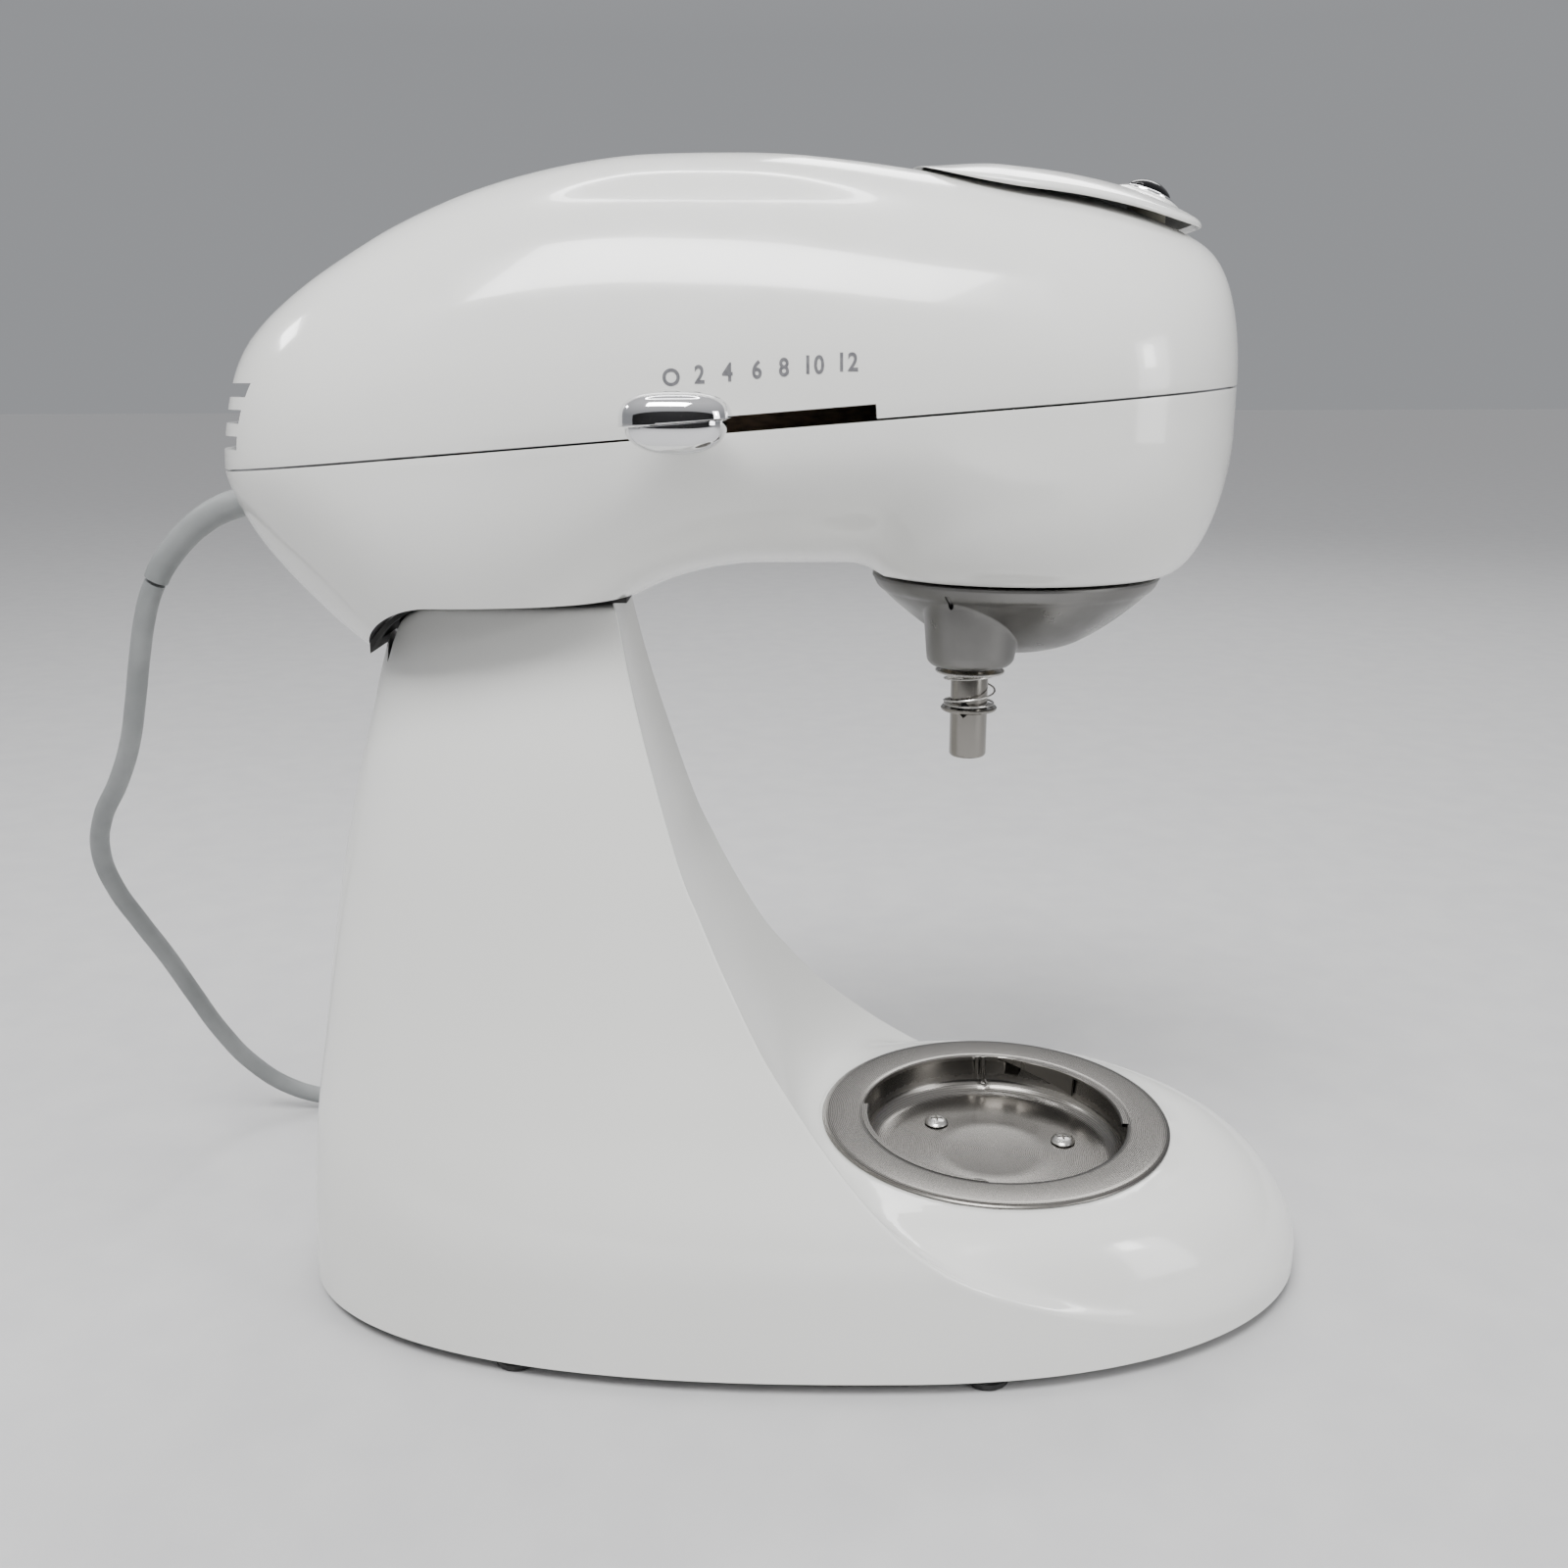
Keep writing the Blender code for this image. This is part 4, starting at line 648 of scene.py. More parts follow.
for face in lower.data.polygons:
    x, _, z = face.center / MM
    from_pivot = math.hypot(x - PIVOT[0], z - PIVOT[1]) if x < PIVOT[0] else z - PIVOT[1]
    if -140 < x < -46.5 and abs(from_pivot - SADDLE_R - SADDLE_GAP) < 0.4 and abs(face.normal.y) < 0.3:
        face.material_index = 1
print("lower housing:", triangles(lower), "triangles")

# %% [markdown]
# ## The stand
# Column and base are one casting: a tall swept column whose front is hollowed for a bowl and runs
# out on to an oval foot. Its sections are drawn across, and each section's outline is averaged
# along itself, which rounds the crease between wall and hollow the way a pattern maker's fillet does.
# A thin pad with the black rubber finish lies on the saddle under the head and darkens the joint.

# %% Stand sections
BASE_HALF_WIDTH, BASE_MIDDLE_X, BASE_BOTTOM_Z = 84.0, 30.0, 5.0
DISH_SEAT_Z, DISH_RIM_R, DISH_MOUTH_R, DISH_DEPTH = 48.0, 59.0, 45.0, 14.0
SCOOP_R, DISH_LEVEL_R, TOE_EDGE_Z = 109.0, 60.5, 11.0
column_rear = spline([
    (0, -165.4), (15, -165), (45, -162.7), (64, -160.5), (86, -157), (110, -153.2), (134, -149),
    (158, -143.9), (178, -139), (194, -134.2), (208, -130.6), (229, -124),
])  # fmt: skip
column_widest_x = spline([
    (0, 30), (40, 31), (52, 28), (63, 17.3), (74, 7.7), (89, -3.5), (100, -10.7), (127, -24.7),
    (151, -34.7), (180, -43.3), (210, -51), (229, -54),
])  # fmt: skip
column_half_width = spline([
    (0, 84), (38, 84), (52, 81.2), (63, 75.5), (74, 69.2), (89, 62), (100, 57), (127, 48.3),
    (151, 42.6), (180, 35.5), (210, 27), (229, 22),
])  # fmt: skip
scoop_height = spline([
    (-57, 229), (-54.4, 210), (-52, 194.5), (-49.4, 180), (-46.7, 166), (-43.4, 151), (-39.8, 140),
    (-35.6, 127), (-31.2, 114), (-26.3, 100), (-21.6, 89), (-14.6, 74), (-8.8, 63), (-2.5, 54), (7.7, 44.8),
    (20.4, 37.7), (37.3, 31.4), (52.6, 26.5), (74, 21), (100, 14), (170, 8),
])  # fmt: skip


def column_wall(x, z):
    """Half width of the casting's side wall at a place along X and a height."""
    middle, wide, rear = column_widest_x(z), column_half_width(z), column_rear(z)
    if x <= rear:
        return 0.0
    if x < middle:
        return wide * rounded((middle - x) / (middle - rear), 2.5)
    return min(wide, BASE_HALF_WIDTH * rounded((x - BASE_MIDDLE_X) / (FRONT_X - BASE_MIDDLE_X), 2.15))


def base_half_width(x):
    if x > BASE_MIDDLE_X:
        return BASE_HALF_WIDTH * rounded((x - BASE_MIDDLE_X) / (FRONT_X - BASE_MIDDLE_X), 2.15)
    return column_wall(x, 0)


def toe_height(x, y):
    """The base round the dish: level under the dish, then falling to the outline."""
    away = math.hypot(x - AXIS_X, y)
    if away < DISH_LEVEL_R:
        return DISH_SEAT_Z
    ux, uy = (x - AXIS_X) / away, y / away
    low, high = DISH_LEVEL_R, 300.0
    for _ in range(24):
        mid = (low + high) / 2
        px, py = AXIS_X + ux * mid, uy * mid
        inside = REAR_X < px < FRONT_X and abs(py) < base_half_width(px)
        low, high = (mid, high) if inside else (low, mid)
    share = min((away - DISH_LEVEL_R) / max(low - DISH_LEVEL_R, 1e-6), 1.0)
    return TOE_EDGE_Z + (DISH_SEAT_Z - TOE_EDGE_Z) * max(1 - share**2.2, 0) ** 0.62


def top_height(x, y):
    """Height of the casting's upper surface over a place in plan."""
    scoop = scoop_height(x - y * y / (2 * SCOOP_R))
    toe = toe_height(x, y) if x > -60 else 0
    soft = 5.0
    height = (scoop + toe + math.hypot(scoop - toe, soft)) / 2 - soft / 4
    if math.hypot(x - AXIS_X, y) < DISH_LEVEL_R:
        height = DISH_SEAT_Z
    saddle = PIVOT[1] + SADDLE_R
    if x < PIVOT[0]:
        saddle = PIVOT[1] + math.sqrt(max(SADDLE_R**2 - (x - PIVOT[0]) ** 2, 0))
    return min(height, saddle) if x > PIVOT[0] - SADDLE_R else 400.0


def softened(outline, corner, window=2.6):
    """Averages an outline along itself, which rounds its creases, and keeps a point on each crease."""
    lengths = [0.0]
    for a, b in zip(outline, outline[1:]):
        lengths.append(lengths[-1] + math.dist(a, b))
    total, edge = max(lengths[-1], 1e-6), lengths[corner]
    fine_count = max(int(total / 0.65), 8)

    def along(points, marks, s):
        s = min(max(s, 0), marks[-1])
        i = min(bisect_left(marks, s, 1), len(marks) - 1) - 1
        t = (s - marks[i]) / max(marks[i + 1] - marks[i], 1e-9)
        return [a + (b - a) * t for a, b in zip(points[i], points[i + 1])]

    marks = [total * i / fine_count for i in range(fine_count + 1)]
    fine = [along(outline, lengths, s) for s in marks]
    reach = max(int(window / (total / fine_count)), 1)
    evened = []
    for i in range(fine_count + 1):
        span = min(reach, i, fine_count - i)
        near = fine[i - span : i + span + 1]
        evened.append([sum(v) / len(near) for v in zip(*near)])
    half = [edge * (1 - (1 - i / 44) ** 1.8) for i in range(45)]
    half += [edge + (total / 2 - edge) * (i / 34) ** 1.8 for i in range(1, 35)]
    stops = half + [total - s for s in reversed(half[:-1])]
    return [tuple(along(evened, marks, s)) for s in stops]


def casting_ring(x):
    """One cross-section of the casting, from the near bottom edge over the top to the far one."""

    def wall(z):
        return column_wall(x, z) if x > column_rear(z) else 0.0

    low, high = BASE_BOTTOM_Z, 240.0
    for _ in range(36):
        mid = (low + high) / 2
        width = wall(mid)
        low, high = (mid, high) if width > 0 and mid < top_height(x, width) else (low, mid)
    crease = low
    edge = wall(crease)
    closed_over = top_height(x, edge) < crease + 0.5
    heights = [BASE_BOTTOM_Z + (crease - BASE_BOTTOM_Z) * math.sin(math.pi / 2 * i / 40) for i in range(41)]
    side = [(-wall(z), z) for z in heights]
    over = []
    for i in range(1, 49):
        y = -math.cos(math.pi / 2 * i / 48) * edge
        over.append((y, top_height(x, y) if closed_over else crease))
    half = [*side, *over]
    outline = [*half, *((-y, z) for y, z in reversed(half[:-1]))]
    return [(x, y, z) for y, z in softened(outline, len(side) - 1)]


print("the column is", 2 * round(column_half_width(140)), "mm wide half way up")

# %% Stand casting
def scoop_x(z):
    """Where along X the hollow in front of the column has this height."""
    low, high = -57.0, 60.0
    for _ in range(30):
        mid = (low + high) / 2
        low, high = (mid, high) if scoop_height(mid) > z else (low, mid)
    return low


steep = [scoop_x(228.5 - 184 * i / 60) for i in range(61)]
steep += [steep[-1] + (14 - steep[-1]) * i / 4 for i in range(1, 5)]
behind = [x for x in eased(-165.3, 2 * -60 + 165.3, 90)[:45] if x < -60.5]
ahead = [x for x in eased(2 * 14 - 169.95, 169.95, 120)[60:] if x > 14.5]
stand = lofted("column_and_base", [casting_ring(x) for x in [*behind, *steep, *ahead]])
cut(stand, bar("dish_seat", (AXIS_X, 0, DISH_SEAT_Z - 0.1), (AXIS_X, 0, 90), DISH_RIM_R + 1.2, 128))
cut(stand, bar("dish_recess", (AXIS_X, 0, DISH_SEAT_Z - DISH_DEPTH), (AXIS_X, 0, 60), DISH_MOUTH_R + 2.5, 96))
cut(stand, block("bracket_slot", (-127, -10.5, 185), (-64, 10.5, 245)))
cut(stand, bar("pin_bore", (PIVOT[0], -19, PIVOT[1]), (PIVOT[0], 19, PIVOT[1]), 6 + GAP))
LOCK_X, LOCK_Z = -77, 212
cut(stand, bar("lock_bore", (LOCK_X, 3, LOCK_Z), (LOCK_X, 60, LOCK_Z), 3 + GAP),
    bar("lever_well", (LOCK_X, 32.5, LOCK_Z), (LOCK_X, 60, LOCK_Z), 9))  # fmt: skip
DISH_SCREWS = [(AXIS_X + 26 * math.cos(a), 26 * math.sin(a)) for a in (math.radians(132 + 120 * n) for n in range(3))]
for x, y in DISH_SCREWS:
    cut(stand, bar("screw_bore", (x, y, 25), (x, y, 40), 2 + GAP, 24))
done(stand, "stand", enamel, "stand_casting", angle=32, slot="white_paint")
print("stand:", triangles(stand), "triangles")

# %% Neck pad
PAD_LOW, PAD_HIGH, PAD_HALF = SADDLE_R + 0.3, SADDLE_R + 1.7, 17
px, pz = PIVOT
pad = bar("neck_pad", (px, -PAD_HALF, pz), (px, PAD_HALF, pz), PAD_HIGH, 128)
cut(pad, bar("pad_hollow", (px, -30, pz), (px, 30, pz), PAD_LOW, 128),
    block("pad_front", (px, -30, pz - 40), (px + 40, 30, pz + 40)),
    block("pad_heel", (px - 40, -30, pz - 40), (px + 1, 30, 206)),
    block("pad_back", (px - 40, -30, 190), (-130.2, 30, 240)))  # fmt: skip
cut(pad, block("pad_flat", (px - 0.2, -PAD_HALF, pz + PAD_LOW), (-52, PAD_HALF, pz + PAD_HIGH)), operation="UNION")
cut(pad, block("bracket_way", (-128, -11.5, 190), (-63, 11.5, 245)))
done(pad, "stand", rubber)
print("a rubber pad darkens the joint between head and column")

# %% [markdown]
# ## The clamp dish
# A bowl stands in a spun stainless dish. Its rim is rolled over at the outer edge, a rib pressed
# into the wall stops the bowl's foot, and two inward lugs slope down like a screw thread and hold
# it. The dish is turned on the lathe helper, and the lugs are swept along an arc.

# %% Dish
DISH_TOP, DISH_FLOOR = DISH_SEAT_Z + GAP, DISH_SEAT_Z + GAP - DISH_DEPTH
dish_profile = [
    (0, DISH_FLOOR + 1.2), (16, DISH_FLOOR + 1.2), (18, DISH_FLOOR + 1.35), (20, DISH_FLOOR + 1.2),
    (36, DISH_FLOOR + 1.2),
    (39, DISH_FLOOR + 1.4), (41.6, DISH_FLOOR + 2.3), (43.6, DISH_FLOOR + 4.2), (44.5, DISH_FLOOR + 6.4),
    (44.8, DISH_TOP - 1), (45, DISH_TOP + 0.7), (45.6, DISH_TOP + 1.1), (47, DISH_TOP + 1.2), (56.2, DISH_TOP + 1.2),
    (57.8, DISH_TOP + 1.1), (58.7, DISH_TOP + 0.75), (59, DISH_TOP + 0.3), (58.8, DISH_TOP), (57.5, DISH_TOP),
    (46.4, DISH_TOP), (46, DISH_TOP - 1.4), (45.8, DISH_FLOOR + 6), (44.6, DISH_FLOOR + 3.4), (42.2, DISH_FLOOR + 1),
    (39, DISH_FLOOR + 0.1), (36, DISH_FLOOR), (0, DISH_FLOOR),
]  # fmt: skip
dish = lathe("dish", dish_profile, (AXIS_X, 0), 144)


def lug(start):
    """A ramp folded in at the dish's mouth: it dips as it runs clockwise, and then stays level."""
    rings = []
    for share in (*(0.43 * i / 24 for i in range(25)), *(0.436 + 0.564 * i / 24 for i in range(25))):
        a = math.radians(start - 90 * share)
        inner = 45.3 - 0.5 - 1.7 * smooth_step(share / 0.2)
        top = DISH_TOP + 1.15
        low = top - 1.3 - (7.2 * share / 0.43 if share < 0.435 else 0.1)
        section = [(45.3, top), (inner + 0.4, top), (inner, top - 0.4), (inner, low + 0.3), (inner + 0.3, low),
                   (inner + 1.0, low), (inner + 1.15, top - 1.3), (45.3, top - 1.3)]  # fmt: skip
        rings.append([(AXIS_X + r * math.cos(a), r * math.sin(a), z) for r, z in section])
    return lofted("lug", rings)


cut(dish, lug(80), lug(260), operation="UNION")
STOP = [
    (67.0, 45.1, 0.7), (67.1, 45.1, -8.2), (68.6, 44.4, -10.0), (71.0, 43.6, -10.4), (69.7, 44.9, -8.4),
    (69.3, 45.1, 0.7),
]  # fmt: skip
for start, end in zip(STOP, STOP[1:]):
    start, end = ((x, y, DISH_TOP + z) for x, y, z in (start, end))
    cut(dish, bar("stop_rib", start, end, 0.85, 16), operation="UNION")
for x, y in DISH_SCREWS:
    cut(dish, bar("screw_bore", (x, y, 30), (x, y, 40), 2 + GAP, 24))
done(dish, "stand", dish_steel, "clamp_dish", angle=38, slot="brushed_steel")
print("dish:", triangles(dish), "triangles,", round(2 * DISH_RIM_R), "mm across")

# %% Dish screws
for number, (x, y) in enumerate(DISH_SCREWS, 1):
    seat = DISH_FLOOR + 1.2 + GAP
    profile = [
        (0, seat + 1.8), (1.4, seat + 1.75), (2.8, seat + 1.5), (3.7, seat + 1), (4.2, seat + 0.3), (4.1, seat),
        (2, seat), (2, 27.5), (0, 27.5),
    ]  # fmt: skip
    screw = lathe(f"pan_screw_{number}", profile, (x, y), 40)
    for dx, dy in ((2.1, 0.42), (0.42, 2.1)):
        cut(screw, block("cross_slot", (x - dx, y - dy, seat + 0.7), (x + dx, y + dy, seat + 3)))
    done(screw, "stand", plain_steel, f"dish_screw_{number}", slot="brushed_steel")
print("three screws hold the dish")

# %% [markdown]
# ## The planetary cap
# The cap under the nose is one die casting: a shallow bowl with a boss off its middle for the beater
# shaft. Here its sections are circles that start round the boss and widen into the rim, and a soft
# maximum of two heights gives the fillet that a moulder would leave between boss and bowl.

# %% Cap
bx, by = BEATER
BOSS_EDGE, BOSS_FACE_Z = 3.0, 209.8
bowl_line = spline([
    (0, 210.9), (10, 211.5), (20, 214.5), (28, 219.3), (35, 224.8), (40.3, 229.6), (43.4, 233.2), (44, 235.4),
])  # fmt: skip


def cap_height(x, y):
    """Height of the cap's underside: the lower of bowl and boss, blended over a few millimetres."""
    bowl = bowl_line(math.hypot(x - AXIS_X, y))
    off = math.hypot(x - bx, y - by)
    edge = min(max(off - 10.2, 0) / BOSS_EDGE, 0.985)
    wall = BOSS_FACE_Z + BOSS_EDGE * (1 - math.sqrt(1 - edge * edge)) + 12 * max(off - 13.15, 0)
    ramp = BOSS_FACE_Z + 0.5 * max(off - 9.0, 0)
    inward = ((x - bx) * (AXIS_X - bx) + (y - by) * -by) / ORBIT_R / max(off, 1e-6)
    boss = wall + (ramp - wall) * smooth_step((inward - 0.1) / 0.8)
    soft = 1.1
    return (bowl + boss - math.hypot(bowl - boss, soft)) / 2 + soft / 4


rows = []
for i in range(121):
    spread = max((i - 36) / 84, 0)
    radius = 7.6 + 7.3 * min(i / 36, 1) + 29.0 * spread
    cx, cy = bx + (AXIS_X - bx) * spread, by * (1 - spread)
    ring = []
    for k in range(129):
        a = 2 * math.pi * k / 128
        x, y = cx + radius * math.cos(a), cy + radius * math.sin(a)
        ring.append((x, y, max(cap_height(x, y), BOSS_FACE_Z)))
    rows.append(ring)
rim = [(x, y) for x, y, _ in rows[-1]]
RIM = [(44.0, 234.6), (44.0, 235.3), (43.6, 235.5), (36.2, 235.5), (35.8, 235.9), (35.8, 239.2), (9.0, 239.2)]
for radius, z in RIM:
    scale = radius / 43.9
    rows.append([(AXIS_X + (x - AXIS_X) * scale, y * scale, z) for x, y in rim])
cap = sheet("planetary_bowl", rows)
tidy_mesh(cap)
select_only(cap)
bpy.ops.object.mode_set(mode="EDIT")
bpy.ops.mesh.select_all(action="SELECT")
bpy.ops.mesh.select_non_manifold(extend=False)
bpy.ops.mesh.fill_holes(sides=0)
bpy.ops.mesh.select_all(action="SELECT")
bpy.ops.mesh.normals_make_consistent(inside=False)
bpy.ops.object.mode_set(mode="OBJECT")
cut(cap, bar("bush_bore", (bx, by, 200), (bx, by, 250), 8.3, 64),
    bar("shaft_socket", (AXIS_X, 0, 226), (AXIS_X, 0, 250), 6.3, 48))  # fmt: skip
mark = math.radians(-125)
outside, inside = ((AXIS_X + r * math.cos(mark), r * math.sin(mark), z) for r, z in ((43.0, 232.7), (38.9, 228.0)))
cut(cap, bar("timing_mark", outside, inside, 0.85, 12))
done(cap, "planetary", casting, "planetary_cap", angle=50, slot="die_cast_metal")
print("planetary cap:", triangles(cap), "triangles")

# %% [markdown]
# ## The beater shaft
# The beater pushes up this shaft against a spring washer and hooks over a cross pin. Shaft and
# washers are turned steel, the spring is a fine open coil, and the cross hole is broached square.

# %% Shaft and washers
PIN_Z, SHAFT_END_Z = 197.4, 182.0
shaft_profile = [
    (0, 249), (5.6, 249), (5.6, 209), (5.45, 208.8), (5.45, 208.3), (5.6, 208.1), (5.6, 182.9), (5.3, 182.3),
    (4.8, SHAFT_END_Z), (0, SHAFT_END_Z),
]  # fmt: skip
shaft = lathe("drive_shaft", shaft_profile, BEATER, 96)
round_edges(shaft, 0.15, 2, 25)
pin_turn = ORBIT_ANGLE + math.radians(14)
ux, uy = math.cos(pin_turn), math.sin(pin_turn)
cut(shaft, bar("pin_hole", (bx - 9 * ux, by - 9 * uy, PIN_Z), (bx + 9 * ux, by + 9 * uy, PIN_Z), 2.75, 4))
done(shaft, "beater", shaft_steel, "beater_shaft", slot="brushed_steel")
# The steel pin takes the black plastic finish as painted shade, for the dark of its cross hole.
pin = bar("cross_pin", (bx - 3.4 * ux, by - 3.4 * uy, PIN_Z), (bx + 3.4 * ux, by + 3.4 * uy, PIN_Z), 1.7, 24)
round_edges(pin, 0.4, 2)
done(pin, "beater", black, "drive_pin", slot="brushed_steel")


def washer(name, inner, outer, low, high, lean=0.0):
    edge = (high - low) * 0.3
    profile = [
        (inner, low + edge), (inner + edge, low), (outer - edge, low), (outer, low + edge), (outer, high - edge),
        (outer - edge, high), (inner + edge, high), (inner, high - edge),
    ]  # fmt: skip
    return lean_about(lathe(name, profile, BEATER, 80), lean, (bx, by, (low + high) / 2))


thrust = washer("thrust_washer", 5.95, 10.4, 207.95, 208.85, 0.012)
done(thrust, "beater", plain_steel, "upper_washer", slot="brushed_steel")
sliding = washer("sliding_washer", 5.95, 8.5, 196.35, 197.5)
done(sliding, "washer", shaft_steel, "lock_washer", slot="brushed_steel")
print("shaft end at", SHAFT_END_Z, "mm above the table")

# %% Spring
spring = added("washer_spring", bpy.ops.curve.primitive_bezier_curve_add)
spring.data.splines.clear()
coil_line = spring.data.splines.new("POLY")
places = []
for i in range(113):
    turn = i / 32
    rise = min(max((turn - 1.0) / 1.7, 0), 1)
    height = 198.35 + 0.1 * turn + (207.3 - 198.75) * rise * rise * (3 - 2 * rise)
    radius = 7.35 + 0.35 * math.sin(math.pi * rise)
    a = 2 * math.pi * turn + 1.2
    places.append((bx + radius * math.cos(a), by + radius * math.sin(a), height))
coil_line.points.add(len(places) - 1)
for point, place in zip(coil_line.points, places):
    point.co = (*(Vector(place) * MM), 1)
spring.data.bevel_depth, spring.data.bevel_resolution, spring.data.use_fill_caps = 0.33 * MM, 3, True
spring.data.materials.append(plain_steel)
select_only(spring)
bpy.ops.object.convert(target="MESH")
done(spring, "beater", plain_steel, "beater_spring", slot="brushed_steel")
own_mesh(spring)
print("spring:", triangles(spring), "triangles")

# %% [markdown]
# ## The speed lever
# The knob is two polished halves that meet on a thin line: the upper one a broad pad for the thumb,
# the lower one a narrower bowl for the finger. Each is a sphere primitive squared off into a
# superellipsoid, then cut flat with the bisect tool and bevelled along the cut.


# %% Knob
def superball(name, centre, size, plan_power, side_power, cut_z, keep_above):
    """A ball squared off in plan and in height, cut flat at a height."""
    piece = added(name, bpy.ops.mesh.primitive_uv_sphere_add, segments=96, ring_count=48, radius=1)
    for v in piece.data.vertices:
        x, y, z = v.co
        flat = math.hypot(x, y)
        reach = flat ** (2 / side_power)
        if flat > 1e-6:
            x, y = (math.copysign(abs(c / flat) ** (2 / plan_power), c) * reach for c in (x, y))
        z = math.copysign(abs(z) ** (2 / side_power), z)
        v.co = Vector(centre) * MM + Vector((x * size[0], y * size[1], z * size[2])) * MM
    select_only(piece)
    bpy.ops.object.mode_set(mode="EDIT")
    bpy.ops.mesh.select_all(action="SELECT")
    lean_normal = Vector((-math.sin(LEAN), 0, math.cos(LEAN)))
    bpy.ops.mesh.bisect(plane_co=Vector((centre[0], centre[1], cut_z)) * MM, plane_no=lean_normal, use_fill=True,
                        clear_inner=keep_above, clear_outer=not keep_above)  # fmt: skip
    bpy.ops.object.mode_set(mode="OBJECT")
    return tidy_mesh(piece, 0.001)


split = parting(LEVER_X) + 3.9
thumb = superball("thumb_pad", (LEVER_X, -72.5, split - 0.3), (14.6, 9.6, 8.0), 2.6, 2.9, split, True)
round_edges(thumb, 0.45, 3, 50)
finger = superball("finger_bowl", (LEVER_X, -72.3, split - 0.3), (13.2, 9.0, 7.8), 2.5, 2.35, split - GAP, False)
round_edges(finger, 0.35, 3, 50)
arm_z = parting(LEVER_X) + 2.2
arm_lean = (-LEAN, (LEVER_X, 0, arm_z))
cut(finger, block("arm_socket", (LEVER_X - 4.8, -70.4, arm_z - 1.5), (LEVER_X + 4.8, -50, arm_z + 1.5), arm_lean))
done(thumb, "lever", chrome, "knob_upper", slot="chrome")
done(finger, "lever", chrome, "knob_lower", slot="chrome")
print("knob:", triangles(thumb) + triangles(finger), "triangles")

# %% Slot liner
liner = block("slot_liner", (-50, -43.2, 268), (35, -42.3, 290), (-LEAN, (slot_middle, 0, 280)))
round_edges(liner, 0.2, 2)
done(liner, "head", slot_brown)
print("a fibre strip closes the lever's slot from inside")

# %% [markdown]
# ## Speed numbers
# The numbers are pad-printed on the curved side. Each is a text object turned into a mesh, and its
# points are then laid on the housing's own surface formula, so that the print follows the curve.


# %% Numbers
def housing_side(x, z):
    """Distance of the upper housing's near side from the middle plane, at a height."""
    base = parting(x) + GAP
    tall = head_top(x) - base
    lifted = min(max((z - base) / tall, 0), 1) ** (1 / 0.95)
    return head_half_width(x) * math.sqrt(max(1 - lifted * lifted, 0)) ** 0.95


MARKS = {"O": -34.3, "2": -26.8, "4": -19.4, "6": -11.7, "8": -4.6, "10": 3.1, "12": 11.9}
MARK_HEIGHT = 4.8
for label, place in MARKS.items():
    number = added(f"mark_{label}", bpy.ops.object.text_add)
    number.data.body, number.data.align_x, number.data.size = label, "CENTER", 1.0
    number.data.offset, number.data.extrude, number.data.space_character = 0.006, 0.01, 1.1
    number.data.bevel_depth, number.data.bevel_resolution = 0.02, 0
    select_only(number)
    bpy.ops.object.convert(target="MESH")
    apply(number, "TRIANGULATE")
    low = min(v.co.y for v in number.data.vertices)
    high = max(v.co.y for v in number.data.vertices)
    scale = MARK_HEIGHT / (high - low)
    base = parting(place) + 12.9
    for v in number.data.vertices:
        x = place + v.co.x * scale * (0.92 if label == "O" else 0.84)
        z = base + (v.co.y - low) * scale * (0.94 if label == "O" else 1)
        proud = 0.1 if v.co.z > 0 else -0.05
        v.co = Vector((x, -(housing_side(x, z) + proud), z)) * MM
    tidy_mesh(number, 0.001)
    done(number, "head", print_grey)
print(len(MARKS), "speed marks")

# %% [markdown]
# ## The vent cover and the badge
# Warm air leaves under a visor on top of the head. The visor is a thin sheet that follows the
# housing and stands off it in front, with a round mound for a domed black badge in a chrome ring.

# %% Cover
COVER_X = (33.0, 116.5)
BADGE, BADGE_LEAN = (101.5, 344.2), math.radians(21)


def head_surface(x, y):
    """Height of the upper housing's skin over a place in plan."""
    share = min(abs(y) / head_half_width(x), 1)
    return parting(x) + (head_top(x) - parting(x)) * (1 - share**2.1) ** (1 / 2.1)


def cover_share(x):
    return (x - COVER_X[0]) / (COVER_X[1] - COVER_X[0])


def cover_gap(x):
    """The visor lies on the head at its rear and stands off it in front."""
    return 0.3 + 3.2 * min(max(cover_share(x), 0) / 0.75, 1) ** 0.5


def cover_top(x, y):
    skin = head_surface(x, y) + cover_gap(x) + 0.5 + 1.9 * smooth_step(cover_share(x) / 0.3)
    plane = BADGE[1] - math.tan(BADGE_LEAN) * (x - BADGE[0])
    away = math.hypot((x - BADGE[0]) / math.cos(BADGE_LEAN), y)
    mound = plane - 1.35 * max(away - 9.4, 0)
    soft = 1.3
    return (skin + mound + math.hypot(skin - mound, soft)) / 2 - soft / 4 if away > 9.4 else max(plane, skin)


middle, long, wide = sum(COVER_X) / 2, (COVER_X[1] - COVER_X[0]) / 2, 32.0
EDGE = 1.1 / 32  # the rounded edge's share of the half width
skin_share = 1 - EDGE
outline = [(i / 70 * skin_share, 1) for i in range(1, 71)]
outline += [(skin_share + EDGE * math.cos(a), math.sin(a)) for a in map(math.radians, range(75, -90, -15))]
outline += [(i / 30 * skin_share, -1) for i in range(30, 0, -1)]
rows = []
for share, side in outline:
    ring = []
    for k in range(161):
        a = 2 * math.pi * k / 160
        x = middle + long * share * math.copysign(abs(math.cos(a)) ** 0.85, math.cos(a))
        y = wide * share * math.copysign(abs(math.sin(a)) ** 0.85, math.sin(a))
        bottom = head_surface(x, y) + cover_gap(x)
        top = cover_top(x, y)
        ring.append((x, y, (bottom + top) / 2 + (top - bottom) / 2 * side))
    rows.append(ring)
start = [(middle, 0, cover_top(middle, 0))] * 161
end = [(middle, 0, head_surface(middle, 0) + cover_gap(middle))] * 161
